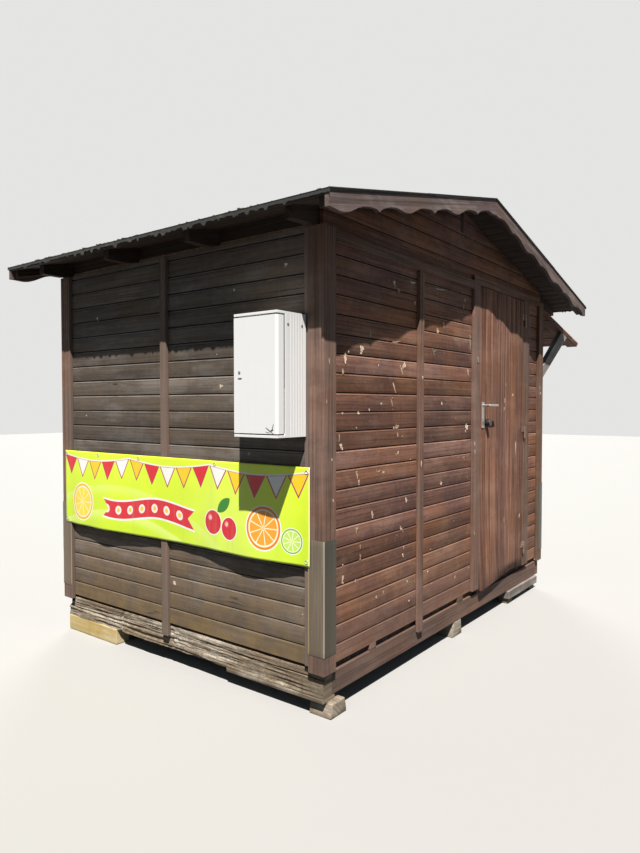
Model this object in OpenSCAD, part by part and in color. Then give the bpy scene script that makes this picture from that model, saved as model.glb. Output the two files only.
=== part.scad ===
/* [Hut] */
// Length of the hut along the ridge, over the corner boards
hut_l = 2130; // [1900:10:2600]
// Depth of the hut across the ridge, over the corner boards
hut_d = 2940; // [2800:10:3600]
// Thickness of the timber wall frame
frame_t = 60; // [45:1:80]
// Thickness of the wall cladding
clad_t = 20; // [15:1:26]
// Thickness of the corner boards and other outside trim
trim_t = 22; // [16:1:30]
// Width of a post or stud, seen from the front
post_w = 60; // [45:1:80]
// Height of a bottom or top plate on edge
plate_h = 45; // [35:1:57]
// Gap between the door head and the top plate over it
plate_gap = 8; // [4:1:30]

/* [Base] */
// Height of the foot blocks between the ground and the sills
foot_h = 95; // [70:1:160]
// Width of a foot block where it meets the ground
foot_w = 130; // [110:1:180]
// Distance of the middle foot blocks from the back corner
foot_mid_from = 1440; // [1100:1:1700]
// Set-back of the middle foot block under the door side
foot_back = 30; // [0:1:90]
// Taper of a foot block on each side
foot_taper = 14; // [0:1:25]
// Height of the sill beams
sill_h = 110; // [80:1:140]
// Width of the sill beams
sill_w = 70; // [60:1:90]
// Height of the floor joists
joist_h = 100; // [60:1:110]
// Width of a floor joist
joist_w = 45; // [35:1:60]
// Number of floor joists
joist_n = 5; // [3:2:9]
// Thickness of the floor boards
floor_t = 20; // [16:1:30]
// Gap between the floor's edge and the lowest cladding board
drip_gap = 15; // [5:1:40]
// Depth of the rebate along the top of the back sill
rebate_h = 25; // [5:1:30]
// Height of the weathered strip over the back sill
skirt_h = 40; // [30:1:70]
// Open gap between that strip and the back cladding
skirt_gap = 18; // [10:1:40]
// Length of the painted bearer at the far back corner
bearer_l = 506; // [300:1:700]
// Width of the painted bearer
bearer_w = 95; // [70:1:120]
// Length of the thin slip between the back sill and its near corner block
slip_l = 636; // [200:1:800]
// Thickness of that slip
slip_t = 25; // [12:1:40]
// Distance of the packing plank from the front corner at the door side
plank_from = 90; // [40:1:500]
// Length of the packing plank at the door side
plank_l = 590; // [300:1:700]
// Thickness of the packing plank
plank_t = 57; // [30:1:65]
// Width of the packing plank
plank_w = 140; // [110:1:180]

/* [Trim] */
// Width of each leg of a corner board
corner_w = 95; // [70:1:120]
// Height of the corner boards' foot above the ground
corner_foot = 212; // [180:1:240]
// Thickness of the metal corner guards
guard_t = 2; // [1:0.5:4]
// Height of the foot of the corner guards above the ground
guard_foot = 300; // [250:1:400]
// Height of the top of the corner guards above the ground
guard_top = 838; // [500:1:1000]
// Width of the upright battens over the cladding
batten_w = 50; // [35:1:70]
// How far the back batten reaches down over the sill
batten_lap = 12; // [5:1:40]
// How far the side battens reach down over the sills
side_batten_lap = 33; // [5:1:60]
// Distance of the back batten from the near corner
back_batten_from = 1097; // [900:1:1300]
// Distance of the side battens from the back corner
side_batten_from = 893; // [600:1:1100]
// Height of the rail across each gable, under the boarded triangle
rail_h = 54; // [40:1:70]
// How far that rail reaches below the door head
rail_drop = 37; // [10:1:60]
// Width of the lighter strip beside the near corner board
strip_w = 24; // [15:1:35]

/* [Door] */
// Distance of the doorway from the front corner
door_from = 426; // [260:1:700]
// Width of the door leaf
door_w = 789; // [700:1:850]
// Height of the door leaf
door_h = 2023; // [1900:1:2100]
// How far the door leaf reaches down below the cladding
door_drop = 18; // [0:1:25]
// Thickness of the door's boards
door_board_t = 22; // [18:1:28]
// Thickness of the ledges behind the boards
ledge_t = 18; // [15:1:24]
// Height of a ledge
ledge_h = 110; // [80:1:140]
// Running gap round the door leaf
swing_gap = 6; // [5:0.5:10]
// Width of the left door casing
casing_left_w = 95; // [60:1:110]
// Width of the right door casing
casing_right_w = 110; // [60:1:130]
// Radius of the door hinge pins
pin_r = 5; // [4:0.5:6]
// Radius of the door hinge knuckles
knuckle_r = 8; // [7:0.5:10]
// Length of one hinge knuckle
knuckle_l = 46; // [30:1:60]
// Width of a hinge leaf plate
hinge_leaf_w = 38; // [25:1:50]
// Thickness of a hinge leaf plate
hinge_leaf_t = 3; // [2:0.5:4]
// Height of the lowest hinge above the foot of the leaf
hinge_low = 161; // [100:1:250]
// Height of the middle hinge above the foot of the leaf
hinge_mid = 1039; // [800:1:1200]
// Distance of the highest hinge below the top of the leaf
hinge_drop = 145; // [100:1:250]
// Height of the lever above the foot of the leaf
lever_z = 1240; // [900:1:1300]
// Distance of the lever from the free edge of the leaf
lever_in = 35; // [30:1:80]
// Length of the lever handle
lever_l = 130; // [90:1:140]
// Radius of the lever's round bar
lever_r = 8; // [6:0.5:10]
// Distance of the lever's bar from the door
lever_out = 50; // [35:1:60]
// Height of the handle plate
lever_plate_h = 172; // [140:1:230]
// Width of the handle plate
lever_plate_w = 40; // [30:1:50]
// Thickness of the handle plate
lever_plate_t = 4; // [3:0.5:6]
// Radius of the lock case beside the handle plate
lock_r = 22; // [12:1:26]
// Depth of the lock case
lock_t = 34; // [15:1:45]

/* [Roof] */
// Slope of the roof, in degrees
pitch = 12.5; // [8:0.5:18]
// Overhang of the roof past the back wall
eave_over = 235; // [150:1:350]
// Overhang of the roof past the serving front
front_over = 445; // [235:1:560]
// Overhang of the roof past the gable walls
gable_over = 200; // [120:1:300]
// Height of a rafter, square to the slope
rafter_h = 82; // [70:1:120]
// Height left of a rafter at its tail
tail_h = 55; // [45:1:65]
// Set-back of the rafter tails from the eave
tail_back = 70; // [30:1:100]
// Width of a rafter
rafter_w = 45; // [35:1:60]
// Size of the square battens behind the bargeboards
verge_w = 45; // [30:1:50]
// Width of the ridge beam
ridge_w = 45; // [35:1:60]
// Height of the ridge beam
ridge_h = 140; // [100:1:180]
// Thickness of the roof boarding
deck_t = 20; // [15:1:26]
// Thickness of the roofing felt
felt_t = 5; // [3:0.5:8]
// Lap of the felt past the boards at every edge
felt_lap = 7; // [3:1:15]
// Thickness of the bargeboards and eave strips
barge_t = 22; // [18:1:30]
// Depth of a bargeboard at its crests
barge_crest = 72; // [68:1:90]
// Depth of a bargeboard at its lobes
barge_lobe = 98; // [85:1:120]
// Distance from one wide lobe to the next, measured level
barge_pitch = 528; // [300:1:700]
// Share of that distance that the wide lobe takes
barge_share = 0.54; // [0.4:0.01:0.7]
// Height of the strips that close the roof boards at the eaves
fascia_h = 24; // [22:1:60]
// Thickness of the blocking between the rafters
block_t = 20; // [15:1:30]

/* [Serving front] */
// Height of the counter above the ground
counter_z = 1200; // [1000:1:1250]
// Distance of the top of the serving opening below the top of the wall frame
head_drop = 204; // [150:1:350]
// Width of the wall on each side of the serving opening
end_w = 205; // [170:1:400]
// Thickness of the counter board
counter_t = 28; // [20:1:40]
// How far the counter stands proud of the corner boards
counter_out = 12; // [5:1:40]
// Height of the frame rails round the serving opening
front_rail_h = 60; // [45:1:80]
// Height of the raised flap's hinge edge above the opening
flap_up = 105; // [40:1:120]
// Length of the flap, from its hinge edge to its free edge
flap_l = 980; // [850:1:1120]
// Distance of the flap's ends from the outside of the gable trim
flap_in = 5; // [0:1:60]
// Thickness of the flap
flap_t = 40; // [30:1:50]
// Downward slope of the raised flap, in degrees
flap_slope = 12; // [8:0.5:15]
// Distance of the foot of the flap's braces below its hinge edge
brace_drop = 535; // [400:1:640]
// Distance of the head of the braces from the wall
brace_run = 655; // [450:1:700]
// Width of a brace, seen from the side
brace_h = 80; // [40:1:95]
// Thickness of a brace
brace_w = 40; // [25:1:45]

/* [Cabinet] */
// Width of the meter cabinet
cab_w = 263; // [220:1:360]
// Height of the meter cabinet
cab_h = 562; // [450:1:700]
// Depth of the cabinet, from the wall's trim to its front
cab_d = 203; // [150:1:280]
// Height of the cabinet's foot above the ground
cab_z = 1316; // [1250:1:1400]
// Distance of the cabinet from the near corner
cab_from = 104; // [97:1:180]
// Thickness of the cabinet's sheet metal
sheet_t = 3; // [1:0.5:4]
// Thickness of the cabinet's top and bottom, with their folded edges
cab_lip = 12; // [8:1:20]
// Depth of the folded edges of the cabinet's door
cab_fold = 45; // [38:1:60]
// Radius of the rounded edge of the cabinet's door
cab_round = 14; // [8:1:25]
// Gap between the cabinet's body and its door
cab_gap = 6; // [5:0.5:8]
// Distance of the cabinet's hinge axis from the edges of its door's fold
cab_pivot_in = 6; // [5:0.5:8]
// Radius of the cabinet's hinge pins
cab_pin_r = 3; // [2:0.25:3.5]
// Wall of the bushes that the cabinet's pins turn in
cab_bush_t = 2.5; // [1.5:0.25:3]
// Length of those bushes
cab_bush_l = 15; // [8:1:25]
// Height of the bars behind the cabinet
cab_bar_h = 40; // [25:1:60]

/* [Banner] */
// Height of the banner's lower edge above the ground
banner_z = 710; // [600:1:760]
// Height of the banner
banner_h = 464; // [300:1:480]
// Thickness of the banner
banner_t = 3; // [2:0.5:5]
// Distance of the banner from the near corner
banner_from = 80; // [60:1:160]
// Distance of the banner from the far corner
banner_to = 42; // [20:1:100]

/* [Hidden] */
// Clearance between a piece and the seat that it only rests against
seat = 0.3;
// Joint left between two boards that meet end to end
joint = 0.5;
// Running clearance of a pin in its knuckle
run = 0.05;
// Half sizes of the plan, from outside to inside
x_trim = hut_l / 2;
y_trim = hut_d / 2;
x_clad = x_trim - trim_t;
y_clad = y_trim - trim_t;
x_frame = x_clad - clad_t;
y_frame = y_clad - clad_t;
x_room = x_frame - frame_t;
y_room = y_frame - frame_t;
// Levels above the ground
sill_top = foot_h + sill_h;
floor_top = sill_top + floor_t;
clad_z = floor_top + drip_gap;
skirt_z = sill_top - rebate_h;
back_clad_z = skirt_z + skirt_h + skirt_gap;
door_z = clad_z - door_drop;
door_top = door_z + door_h;
head_z = door_top + swing_gap;
plate_z = head_z + plate_gap;
wall_top = plate_z + plate_h;
rail_z = head_z - rail_drop;
// Underside and top of the roof layers at a distance from the ridge
slope = tan(pitch);
function rafter_under(y) = wall_top + (y_room - y) * slope;
function rafter_top(y) = rafter_under(y) + rafter_h / cos(pitch);
function deck_under(y) = rafter_top(y) + seat;
function deck_top(y) = deck_under(y) + deck_t / cos(pitch);
function felt_under(y) = deck_top(y) + seat;
function felt_top(y) = felt_under(y) + felt_t / cos(pitch);
eave_wall_top = rafter_under(y_clad) - 1;
corner_top = rafter_under(y_trim) - 1;
x_barge = x_trim + gable_over;
x_deck = x_barge - barge_t;
y_eave = y_trim + eave_over;
y_front_eave = y_trim + front_over;
function eave_y(side) = side == "front" ? y_front_eave : y_eave;
// Position of the rafter pairs along the ridge
rafter_out = x_frame - rafter_w / 2;
rafter_at = [-rafter_out, -rafter_out / 3, rafter_out / 3, rafter_out];
// Doorway along the wall, from its front edge to its back edge
door_y0 = -y_trim + door_from;
door_y1 = door_y0 + door_w + 2 * swing_gap;
leaf_y0 = door_y0 + swing_gap;
leaf_y1 = door_y1 - swing_gap;
// Door hinge axis, outside the leaf and over the middle of the running gap
hinge_x = -x_trim - knuckle_r - 1;
hinge_y = door_y0 + swing_gap / 2;
hinge_at = [door_z + hinge_low, door_z + hinge_mid, door_top - hinge_drop];
lever_y = leaf_y1 - lever_in;
lever_at = door_z + lever_z;
lever_plate_z = lever_at - lever_plate_h + 22;
lock_y = lever_y - lever_plate_w / 2 - lock_r - 13;
lock_z = lever_plate_z + lock_r + 12;
// Serving front
opening_x = x_trim - end_w;
opening_top = wall_top - head_drop;
flap_z = opening_top + flap_up;
brace_z = flap_z - brace_drop;
flap_x = x_trim - flap_in;
// Cabinet on the back wall
cab_x0 = -x_trim + cab_from;
cab_x1 = cab_x0 + cab_w;
cab_front = y_trim + cab_d;
cab_in_z0 = cab_z + cab_lip;
cab_in_z1 = cab_z + cab_h - cab_lip;
cab_lid_y = cab_front - cab_fold;
cab_lid_z0 = cab_in_z0 + cab_gap;
cab_lid_z1 = cab_in_z1 - cab_gap;
cab_hinge_x = cab_x0 + cab_pivot_in;
cab_hinge_y = cab_lid_y + cab_pivot_in;
cab_bush_r = cab_pin_r + cab_bush_t;
round_fn = 48;

// A box from its low corner to its high corner
module block(low, high) {
  translate(low) cube(high - low);
}

// The same shape on both sides of the ridge
module both_eaves() {
  children();
  mirror([0, 1, 0]) children();
}

// A shape on the back slope, or its mirror image on the front slope
module on_slope(side) {
  if (side == "front") mirror([0, 1, 0]) children();
  else children();
}

// The same shape at both gables
module both_gables() {
  children();
  mirror([1, 0, 0]) children();
}

// A profile drawn across the hut, pushed out along the ridge
module across(x0, x1) {
  translate([x0, 0, 0]) rotate([90, 0, 90]) linear_extrude(x1 - x0) children();
}

module foot_block(x, y, h) {
  across(x - foot_w / 2, x + foot_w / 2)
    polygon([[y - foot_w / 2, 0], [y + foot_w / 2, 0],
      [y + foot_w / 2 - foot_taper, h], [y - foot_w / 2 + foot_taper, h]]);
}

foot_x = x_clad - sill_w / 2;
foot_y = y_clad - foot_w / 2 - 20;
foot_mid_y = y_trim - foot_mid_from;
plank_y0 = -y_trim + plank_from;
plank_y1 = plank_y0 + plank_l;

module foot_blocks() {
  color("#8a7a66") {
    foot_block(-foot_x, foot_y, foot_h - slip_t);
    block([-x_clad, y_clad - bearer_w, foot_h - slip_t], [-x_clad + slip_l, y_clad, foot_h]);
    foot_block(-foot_x + foot_back, foot_mid_y, foot_h);
    for (y = [foot_mid_y, -foot_y]) foot_block(foot_x, y, foot_h);
    foot_block(0, 0, sill_top - joist_h);
    for (y = [plank_y0 + 60, plank_y1 - 60])
      block([-foot_x - sill_w / 2, y - 45, 0],
        [-foot_x + sill_w / 2, y + 45, foot_h - plank_t]);
  }
}

module yellow_bearer() {
  color("#c9a32a")
    block([x_clad - bearer_l, y_clad - bearer_w, 0], [x_clad, y_clad, foot_h]);
}

module packing_plank() {
  color("#8d8a82")
    block([-x_clad - 20, plank_y0, foot_h - plank_t],
      [-x_clad - 20 + plank_w, plank_y1, foot_h]);
}

module back_sill() {
  color("#9b8d78")
    across(-x_clad, x_clad)
      polygon([[y_clad - sill_w, foot_h], [y_clad, foot_h], [y_clad, skirt_z],
        [y_frame, skirt_z], [y_frame, sill_top], [y_clad - sill_w, sill_top]]);
}

module back_skirt() {
  color("#a39682")
    block([-x_clad, y_frame, skirt_z], [x_clad, y_clad, skirt_z + skirt_h]);
}

module front_sill() {
  color("#7a5f4c")
    block([-x_clad, -y_clad, foot_h], [x_clad, -y_clad + sill_w, sill_top]);
}

module side_sills() {
  color("#8a6a55")
    both_gables()
      block([x_clad - sill_w, -y_clad + sill_w, foot_h], [x_clad, y_clad - sill_w, sill_top]);
}

module floor_joists() {
  inner_y = y_clad - sill_w - joist_w;
  color("#8c7358")
    for (i = [0:joist_n - 1])
      translate([0, -inner_y + i * 2 * inner_y / (joist_n - 1), 0])
        block([-x_clad + sill_w, -joist_w / 2, sill_top - joist_h],
          [x_clad - sill_w, joist_w / 2, sill_top]);
}

module floor_boards() {
  color("#9a8062")
    block([-x_frame, -y_frame, sill_top], [x_frame, y_frame, floor_top]);
}

module post(x, y, z0, z1) {
  translate([x, y, z0]) cube([frame_t, post_w, z1 - z0]);
}

module turned_post(x, y, z0, z1) {
  translate([x, y, z0]) cube([post_w, frame_t, z1 - z0]);
}

module wall_posts() {
  z0 = floor_top + plate_h;
  color("#a5865f") {
    both_eaves() both_gables()
      block([x_room, y_room, floor_top], [x_frame, y_frame, wall_top]);
    for (i = [-1:1])
      turned_post(i * hut_l / 4 - post_w / 2, y_room, z0, plate_z);
    both_gables() turned_post(opening_x, -y_frame, z0, plate_z);
    for (i = [-2:2])
      post(x_room, i * hut_d / 6 - post_w / 2, z0, plate_z);
    post(-x_frame, y_trim - side_batten_from - batten_w, z0, plate_z);
    post(-x_frame, door_y1, floor_top, plate_z);
    post(-x_frame, door_y0 - post_w, floor_top, plate_z);
  }
}

module wall_plates() {
  low = [floor_top, floor_top + plate_h];
  high = [plate_z, wall_top];
  color("#9c7d58") {
    for (z = [low, high]) {
      both_eaves() block([-x_room, y_room, z[0]], [x_room, y_frame, z[1]]);
      block([x_room, -y_room, z[0]], [x_frame, y_room, z[1]]);
    }
    block([-x_frame, -y_room, high[0]], [-x_room, y_room, high[1]]);
    block([-x_frame, door_y1 + post_w, low[0]], [-x_room, y_room, low[1]]);
    block([-x_frame, -y_room, low[0]], [-x_room, door_y0 - post_w, low[1]]);
    for (z = [counter_z - front_rail_h, opening_top])
      block([-opening_x, -y_frame, z], [opening_x, -y_room, z + front_rail_h]);
  }
}

module back_wall() {
  color("#735f4b")
    block([-x_clad, y_frame, back_clad_z], [x_clad, y_clad, eave_wall_top]);
}

// Outline of a gable from a level upwards, notched for the ridge beam
module gable_outline(z0) {
  roof = [for (s = [-1, 1], y = s < 0 ? [y_clad, ridge_w / 2] : [ridge_w / 2, y_clad])
    [s * y, rafter_top(y)]];
  notch_z = rafter_top(ridge_w / 2) - ridge_h;
  polygon([[y_frame, z0], [y_frame, eave_wall_top + 1], [y_clad, eave_wall_top + 1],
    roof[3], roof[2], [ridge_w / 2, notch_z], [-ridge_w / 2, notch_z], roof[1], roof[0],
    [-y_clad, eave_wall_top + 1], [-y_frame, eave_wall_top + 1], [-y_frame, z0]]);
}

module far_side_wall() {
  color("#7d5848") across(x_frame, x_clad) gable_outline(clad_z);
}

module door_gable() {
  color("#7d5848") across(-x_clad, -x_frame) gable_outline(head_z);
}

module door_side_wall() {
  color("#84604d") {
    block([-x_clad, door_y1, clad_z], [-x_frame, y_frame, head_z]);
    block([-x_clad, -y_frame, clad_z], [-x_frame, door_y0, head_z]);
  }
}

module front_wall_low() {
  color("#7d5c48")
    block([-x_clad, -y_clad, clad_z], [x_clad, -y_frame, counter_z]);
}

module front_wall_ends() {
  color("#7d5c48")
    both_gables()
      block([opening_x, -y_clad, counter_z], [x_clad, -y_frame, opening_top]);
}

module front_wall_head() {
  color("#7d5c48")
    block([-x_clad, -y_clad, opening_top], [x_clad, -y_frame, eave_wall_top]);
}

// Angle round a corner, from its outer arris inwards
module corner_angle(x, y, leg, t, z0, z1) {
  translate([0, 0, z0]) linear_extrude(z1 - z0)
    polygon([[x, y], [x - leg, y], [x - leg, y - t], [x - t, y - t], [x - t, y - leg],
      [x, y - leg]]);
}

module corner_boards() {
  color("#866350")
    both_eaves() both_gables()
      corner_angle(x_trim, y_trim, corner_w, trim_t, corner_foot, corner_top);
}

module corner_guards() {
  color("#8b8c88")
    both_eaves() both_gables()
      corner_angle(x_trim + guard_t, y_trim + guard_t, corner_w, guard_t,
        guard_foot, guard_top);
}

module wall_battens() {
  side_y = y_trim - side_batten_from - batten_w;
  color("#7a5443") {
    translate([-x_trim + back_batten_from, 0, 0])
      block([0, y_clad, skirt_z - batten_lap], [batten_w, y_trim, corner_top]);
    block([-x_trim + corner_w, y_clad, back_clad_z],
      [-x_trim + corner_w + strip_w, y_trim - trim_t / 4, corner_top]);
    for (x = [-x_trim, x_clad])
      block([x, side_y, sill_top - side_batten_lap],
        [x + trim_t, side_y + batten_w, rail_z]);
    block([-x_trim + corner_w, -y_trim, flap_z], [x_trim - corner_w, -y_clad, flap_z + flap_t]);
  }
}

module side_rails() {
  end_y = y_trim - corner_w;
  casing_y = door_y1 + casing_left_w;
  color("#7a5443") {
    block([x_clad, -end_y, rail_z], [x_trim, end_y, rail_z + rail_h]);
    block([-x_trim, casing_y, rail_z], [-x_clad, end_y, rail_z + rail_h]);
    block([-x_trim, -end_y, head_z], [-x_clad, casing_y - joint, head_z + rail_h]);
  }
}

module door_casing() {
  color("#7f5a49") {
    block([-x_trim, door_y1, clad_z], [-x_clad, door_y1 + casing_left_w, head_z]);
    block([-x_trim, door_y0 - casing_right_w, clad_z], [-x_clad, door_y0, head_z]);
  }
}

module door_stops() {
  stop_x = -x_trim + door_board_t + ledge_t + 8;
  stop_in = swing_gap + 12;
  color("#8c6a50") {
    block([stop_x, door_y1 - stop_in, floor_top], [-x_room, door_y1, plate_z]);
    block([stop_x, door_y0, floor_top], [-x_room, door_y0 + stop_in, plate_z]);
    block([stop_x, door_y0 + stop_in + joint, head_z - stop_in],
      [-x_room, door_y1 - stop_in - joint, plate_z]);
  }
}

module door_leaf() {
  color("#8c6450")
    block([-x_trim, leaf_y0, door_z], [-x_trim + door_board_t, leaf_y1, door_top]);
}

module door_ledges() {
  x0 = -x_trim + door_board_t;
  edge = swing_gap + 30;
  low = door_z + 120;
  mid = door_z + door_h / 2 - ledge_h / 2;
  high = door_top - 120 - ledge_h;
  color("#7d5d4a")
    translate([x0, 0, 0]) rotate([90, 0, 90]) linear_extrude(ledge_t) {
      for (z = [low, mid, high])
        translate([leaf_y0 + edge, z]) square([door_w - 2 * edge, ledge_h]);
      for (z = [[low, mid], [mid, high]])
        polygon([[leaf_y0 + edge, z[0] + ledge_h], [leaf_y0 + edge + ledge_h, z[0] + ledge_h],
          [leaf_y1 - edge, z[1]], [leaf_y1 - edge - ledge_h, z[1]]]);
    }
}

// Fixed half of each lift-off hinge: leaf plate, lower knuckle and pin
module door_hinge_pins() {
  color("#5d5a56")
    for (z = hinge_at) {
      block([-x_trim - hinge_leaf_t, hinge_y - swing_gap / 2 - hinge_leaf_w, z - knuckle_l],
        [-x_trim, hinge_y - swing_gap / 2, z - joint]);
      translate([hinge_x, hinge_y, z - knuckle_l])
        cylinder(r = knuckle_r, h = knuckle_l - joint, $fn = round_fn);
      block([hinge_x, hinge_y - swing_gap / 2 - knuckle_r, z - knuckle_l],
        [-x_trim - joint, hinge_y - swing_gap / 2, z - joint]);
      translate([hinge_x, hinge_y, z - joint])
        cylinder(r = pin_r, h = knuckle_l - 4, $fn = round_fn);
    }
}

// Moving half of each hinge: leaf plate and upper knuckle with its bore
module door_hinge_plates() {
  color("#5d5a56")
    for (z = hinge_at)
      difference() {
        union() {
          block([-x_trim - hinge_leaf_t, hinge_y + swing_gap / 2, z + joint],
            [-x_trim, hinge_y + swing_gap / 2 + hinge_leaf_w, z + knuckle_l]);
          block([hinge_x, hinge_y + swing_gap / 2, z + joint],
            [-x_trim - joint, hinge_y + swing_gap / 2 + knuckle_r, z + knuckle_l]);
          translate([hinge_x, hinge_y, z + joint])
            cylinder(r = knuckle_r, h = knuckle_l - joint, $fn = round_fn);
        }
        translate([hinge_x, hinge_y, z - 1])
          cylinder(r = pin_r + run, h = knuckle_l + 2, $fn = round_fn);
      }
}

module door_handle_plate() {
  color("#b9b9b6")
    difference() {
      block([-x_trim - lever_plate_t, lever_y - lever_plate_w / 2, lever_plate_z],
        [-x_trim, lever_y + lever_plate_w / 2, lever_plate_z + lever_plate_h]);
      translate([-x_trim - lever_plate_t - 1, lever_y, lever_at]) rotate([0, 90, 0])
        cylinder(r = lever_r + run, h = lever_plate_t + 2, $fn = round_fn);
    }
}

module door_lever() {
  color("#c2c2c0")
    translate([-x_trim, lever_y, lever_at]) {
      translate([-lever_out, 0, 0]) rotate([0, 90, 0])
        cylinder(r = lever_r, h = lever_out - joint, $fn = round_fn);
      translate([-lever_out, 0, 0]) sphere(r = lever_r, $fn = round_fn);
      translate([-lever_out, 0, 0]) rotate([90, 0, 0])
        cylinder(r = lever_r, h = lever_l, $fn = round_fn);
      translate([-lever_out, -lever_l, 0]) sphere(r = lever_r, $fn = round_fn);
    }
}

module door_lock() {
  color("#2c2c2c")
    translate([-x_trim - lock_t, lock_y, lock_z]) rotate([0, 90, 0])
      cylinder(r = lock_r, h = lock_t, $fn = round_fn);
}

module ridge_beam() {
  top = rafter_top(ridge_w / 2);
  color("#9c7d58")
    block([-x_clad, -ridge_w / 2, top - ridge_h], [x_clad, ridge_w / 2, top]);
}

// Side view of a rafter, with its seat over the top plate and a level cut at the tail
module rafter_profile(y_tail) {
  tail_z = rafter_top(y_tail) - tail_h;
  tail_y = y_room + (wall_top - tail_z) / slope;
  polygon([[ridge_w / 2, rafter_under(ridge_w / 2)], [y_room, wall_top], [y_frame, wall_top],
    [y_frame, rafter_under(y_frame)], [tail_y, tail_z], [y_tail, tail_z],
    [y_tail, rafter_top(y_tail)], [ridge_w / 2, rafter_top(ridge_w / 2)]]);
}

// Side view of the batten that carries a bargeboard
module verge_profile(y1) {
  drop = verge_w / cos(pitch);
  polygon([for (p = [[joint, drop], [y1, drop], [y1, 0], [joint, 0]])
    [p[0], rafter_top(p[0]) - p[1]]]);
}

module rafters() {
  color("#6a4f3e")
    for (side = ["back", "front"]) on_slope(side) {
      for (x = rafter_at)
        across(x - rafter_w / 2, x + rafter_w / 2) rafter_profile(eave_y(side) - tail_back);
      both_gables() across(x_deck - verge_w, x_deck) verge_profile(eave_y(side) - barge_t);
    }
}

module eave_blocks() {
  color("#8a6a50")
    both_eaves()
      for (i = [0:len(rafter_at) - 2])
        block([rafter_at[i] + rafter_w / 2, y_frame - block_t, wall_top],
          [rafter_at[i + 1] - rafter_w / 2, y_frame, rafter_top(y_frame)]);
}

module roof_deck() {
  color("#6f5747")
    for (side = ["back", "front"], y = eave_y(side) - barge_t) on_slope(side)
      across(-x_deck, x_deck)
        polygon([[joint, deck_under(joint)], [y, deck_under(y)], [y, deck_top(y)],
          [joint, deck_top(joint)]]);
}

module roof_felt() {
  x = x_barge + felt_lap;
  y = y_eave + felt_lap;
  f = y_front_eave + felt_lap;
  color("#3a3c3e") across(-x, x)
    polygon([[0, felt_under(0)], [y, felt_under(y)], [y, felt_top(y)], [0, felt_top(0)],
      [-f, felt_top(f)], [-f, felt_under(f)]]);
}

// Depth of the bargeboard: a wide round lobe, then hollow arches that meet in a point
lobe_half = barge_pitch * barge_share / 2;
function barge_phase(y) = abs(y - barge_pitch * round(y / barge_pitch));
function arch_share(s) = (s - lobe_half) / (barge_pitch / 2 - lobe_half);
function barge_shape(s) = s < lobe_half ? (1 + cos(180 * s / lobe_half)) / 2
  : 1 - sqrt(1 - pow(min(1, arch_share(s)), 2));
function barge_depth(y) = barge_crest + (barge_lobe - barge_crest) * barge_shape(barge_phase(y));

module bargeboard_profile(y1) {
  steps = 84;
  polygon([[y1, deck_top(y1)], [joint, deck_top(joint)],
    for (i = [0:steps]) let (y = joint + (y1 - joint) * i / steps)
      [y, deck_top(y) - barge_depth(y)]]);
}

module bargeboards() {
  color("#a08a80")
    for (side = ["back", "front"]) on_slope(side)
      both_gables() across(x_deck, x_barge) bargeboard_profile(eave_y(side));
}

// Strips that close the ends of the roof boards, just under the felt
module eave_boards() {
  color("#5b4436")
    for (side = ["back", "front"], y1 = eave_y(side), y0 = y1 - barge_t) on_slope(side)
      across(-x_deck, x_deck)
        polygon([[y0, deck_top(y0) - fascia_h], [y1, deck_top(y1) - fascia_h],
          [y1, deck_top(y1)], [y0, deck_top(y0)]]);
}

module cabinet_body() {
  hinge_side_y = cab_hinge_y - cab_pivot_in * sqrt(2) - cab_gap;
  color("#e4e2da") {
    difference() {
      block([cab_x0, y_trim, cab_z], [cab_x1, cab_front, cab_z + cab_h]);
      block([cab_x0 + sheet_t, y_trim + sheet_t, cab_in_z0],
        [cab_x1 - sheet_t, cab_front + 1, cab_in_z1]);
      block([cab_x0 - 1, hinge_side_y, cab_in_z0],
        [cab_x0 + sheet_t + 1, cab_front + 1, cab_in_z1]);
      block([cab_x1 - sheet_t - 1, cab_lid_y - cab_gap, cab_in_z0],
        [cab_x1 + 1, cab_front + 1, cab_in_z1]);
    }
    for (z = [cab_in_z0 + cab_bar_h, cab_in_z1 - 2 * cab_bar_h])
      block([-x_trim + corner_w + strip_w + 1, y_clad, z],
        [cab_x1 - sheet_t, y_trim, z + cab_bar_h]);
  }
}

// Outer form of the cabinet's door, or its inside when drawn in by t
module lid_form(t, y0) {
  r = cab_round;
  z0 = cab_lid_z0 + t;
  z1 = cab_lid_z1 - t;
  block([cab_x0 + t, y0, z0], [cab_x1 - t, cab_front - r, z1]);
  block([cab_x0 + r, y0, z0], [cab_x1 - t, cab_front - t, z1]);
  translate([cab_x0 + r, cab_front - r, z0])
    cylinder(r = r - t, h = z1 - z0, $fn = round_fn);
}

// Folded sheet-metal door, with a bush at the top and the bottom of its hinge edge
module cabinet_door() {
  color("#ebe9e1")
    difference() {
      union() {
        difference() {
          lid_form(0, cab_lid_y);
          lid_form(sheet_t, cab_lid_y - 1);
        }
        for (z = [cab_lid_z0, cab_lid_z1 - cab_bush_l])
          translate([cab_hinge_x, cab_hinge_y, z])
            cylinder(r = cab_bush_r, h = cab_bush_l, $fn = round_fn);
      }
      for (z = [cab_lid_z0 - 1, cab_lid_z1 - cab_bush_l - 1])
        translate([cab_hinge_x, cab_hinge_y, z])
          cylinder(r = cab_pin_r + run, h = cab_bush_l + 2, $fn = round_fn);
    }
}

// Fixed pins in the cabinet's top and bottom that its door turns on
module cabinet_hinges() {
  pin_l = cab_gap + cab_bush_l - 2;
  color("#9d9d99")
    for (z = [cab_in_z0, cab_in_z1 - pin_l])
      translate([cab_hinge_x, cab_hinge_y, z]) cylinder(r = cab_pin_r, h = pin_l, $fn = round_fn);
}

module banner() {
  y0 = y_trim + guard_t + seat;
  color("#c6e22c")
    block([-x_trim + banner_from, y0, banner_z],
      [x_trim - banner_to, y0 + banner_t, banner_z + banner_h]);
}

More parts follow.
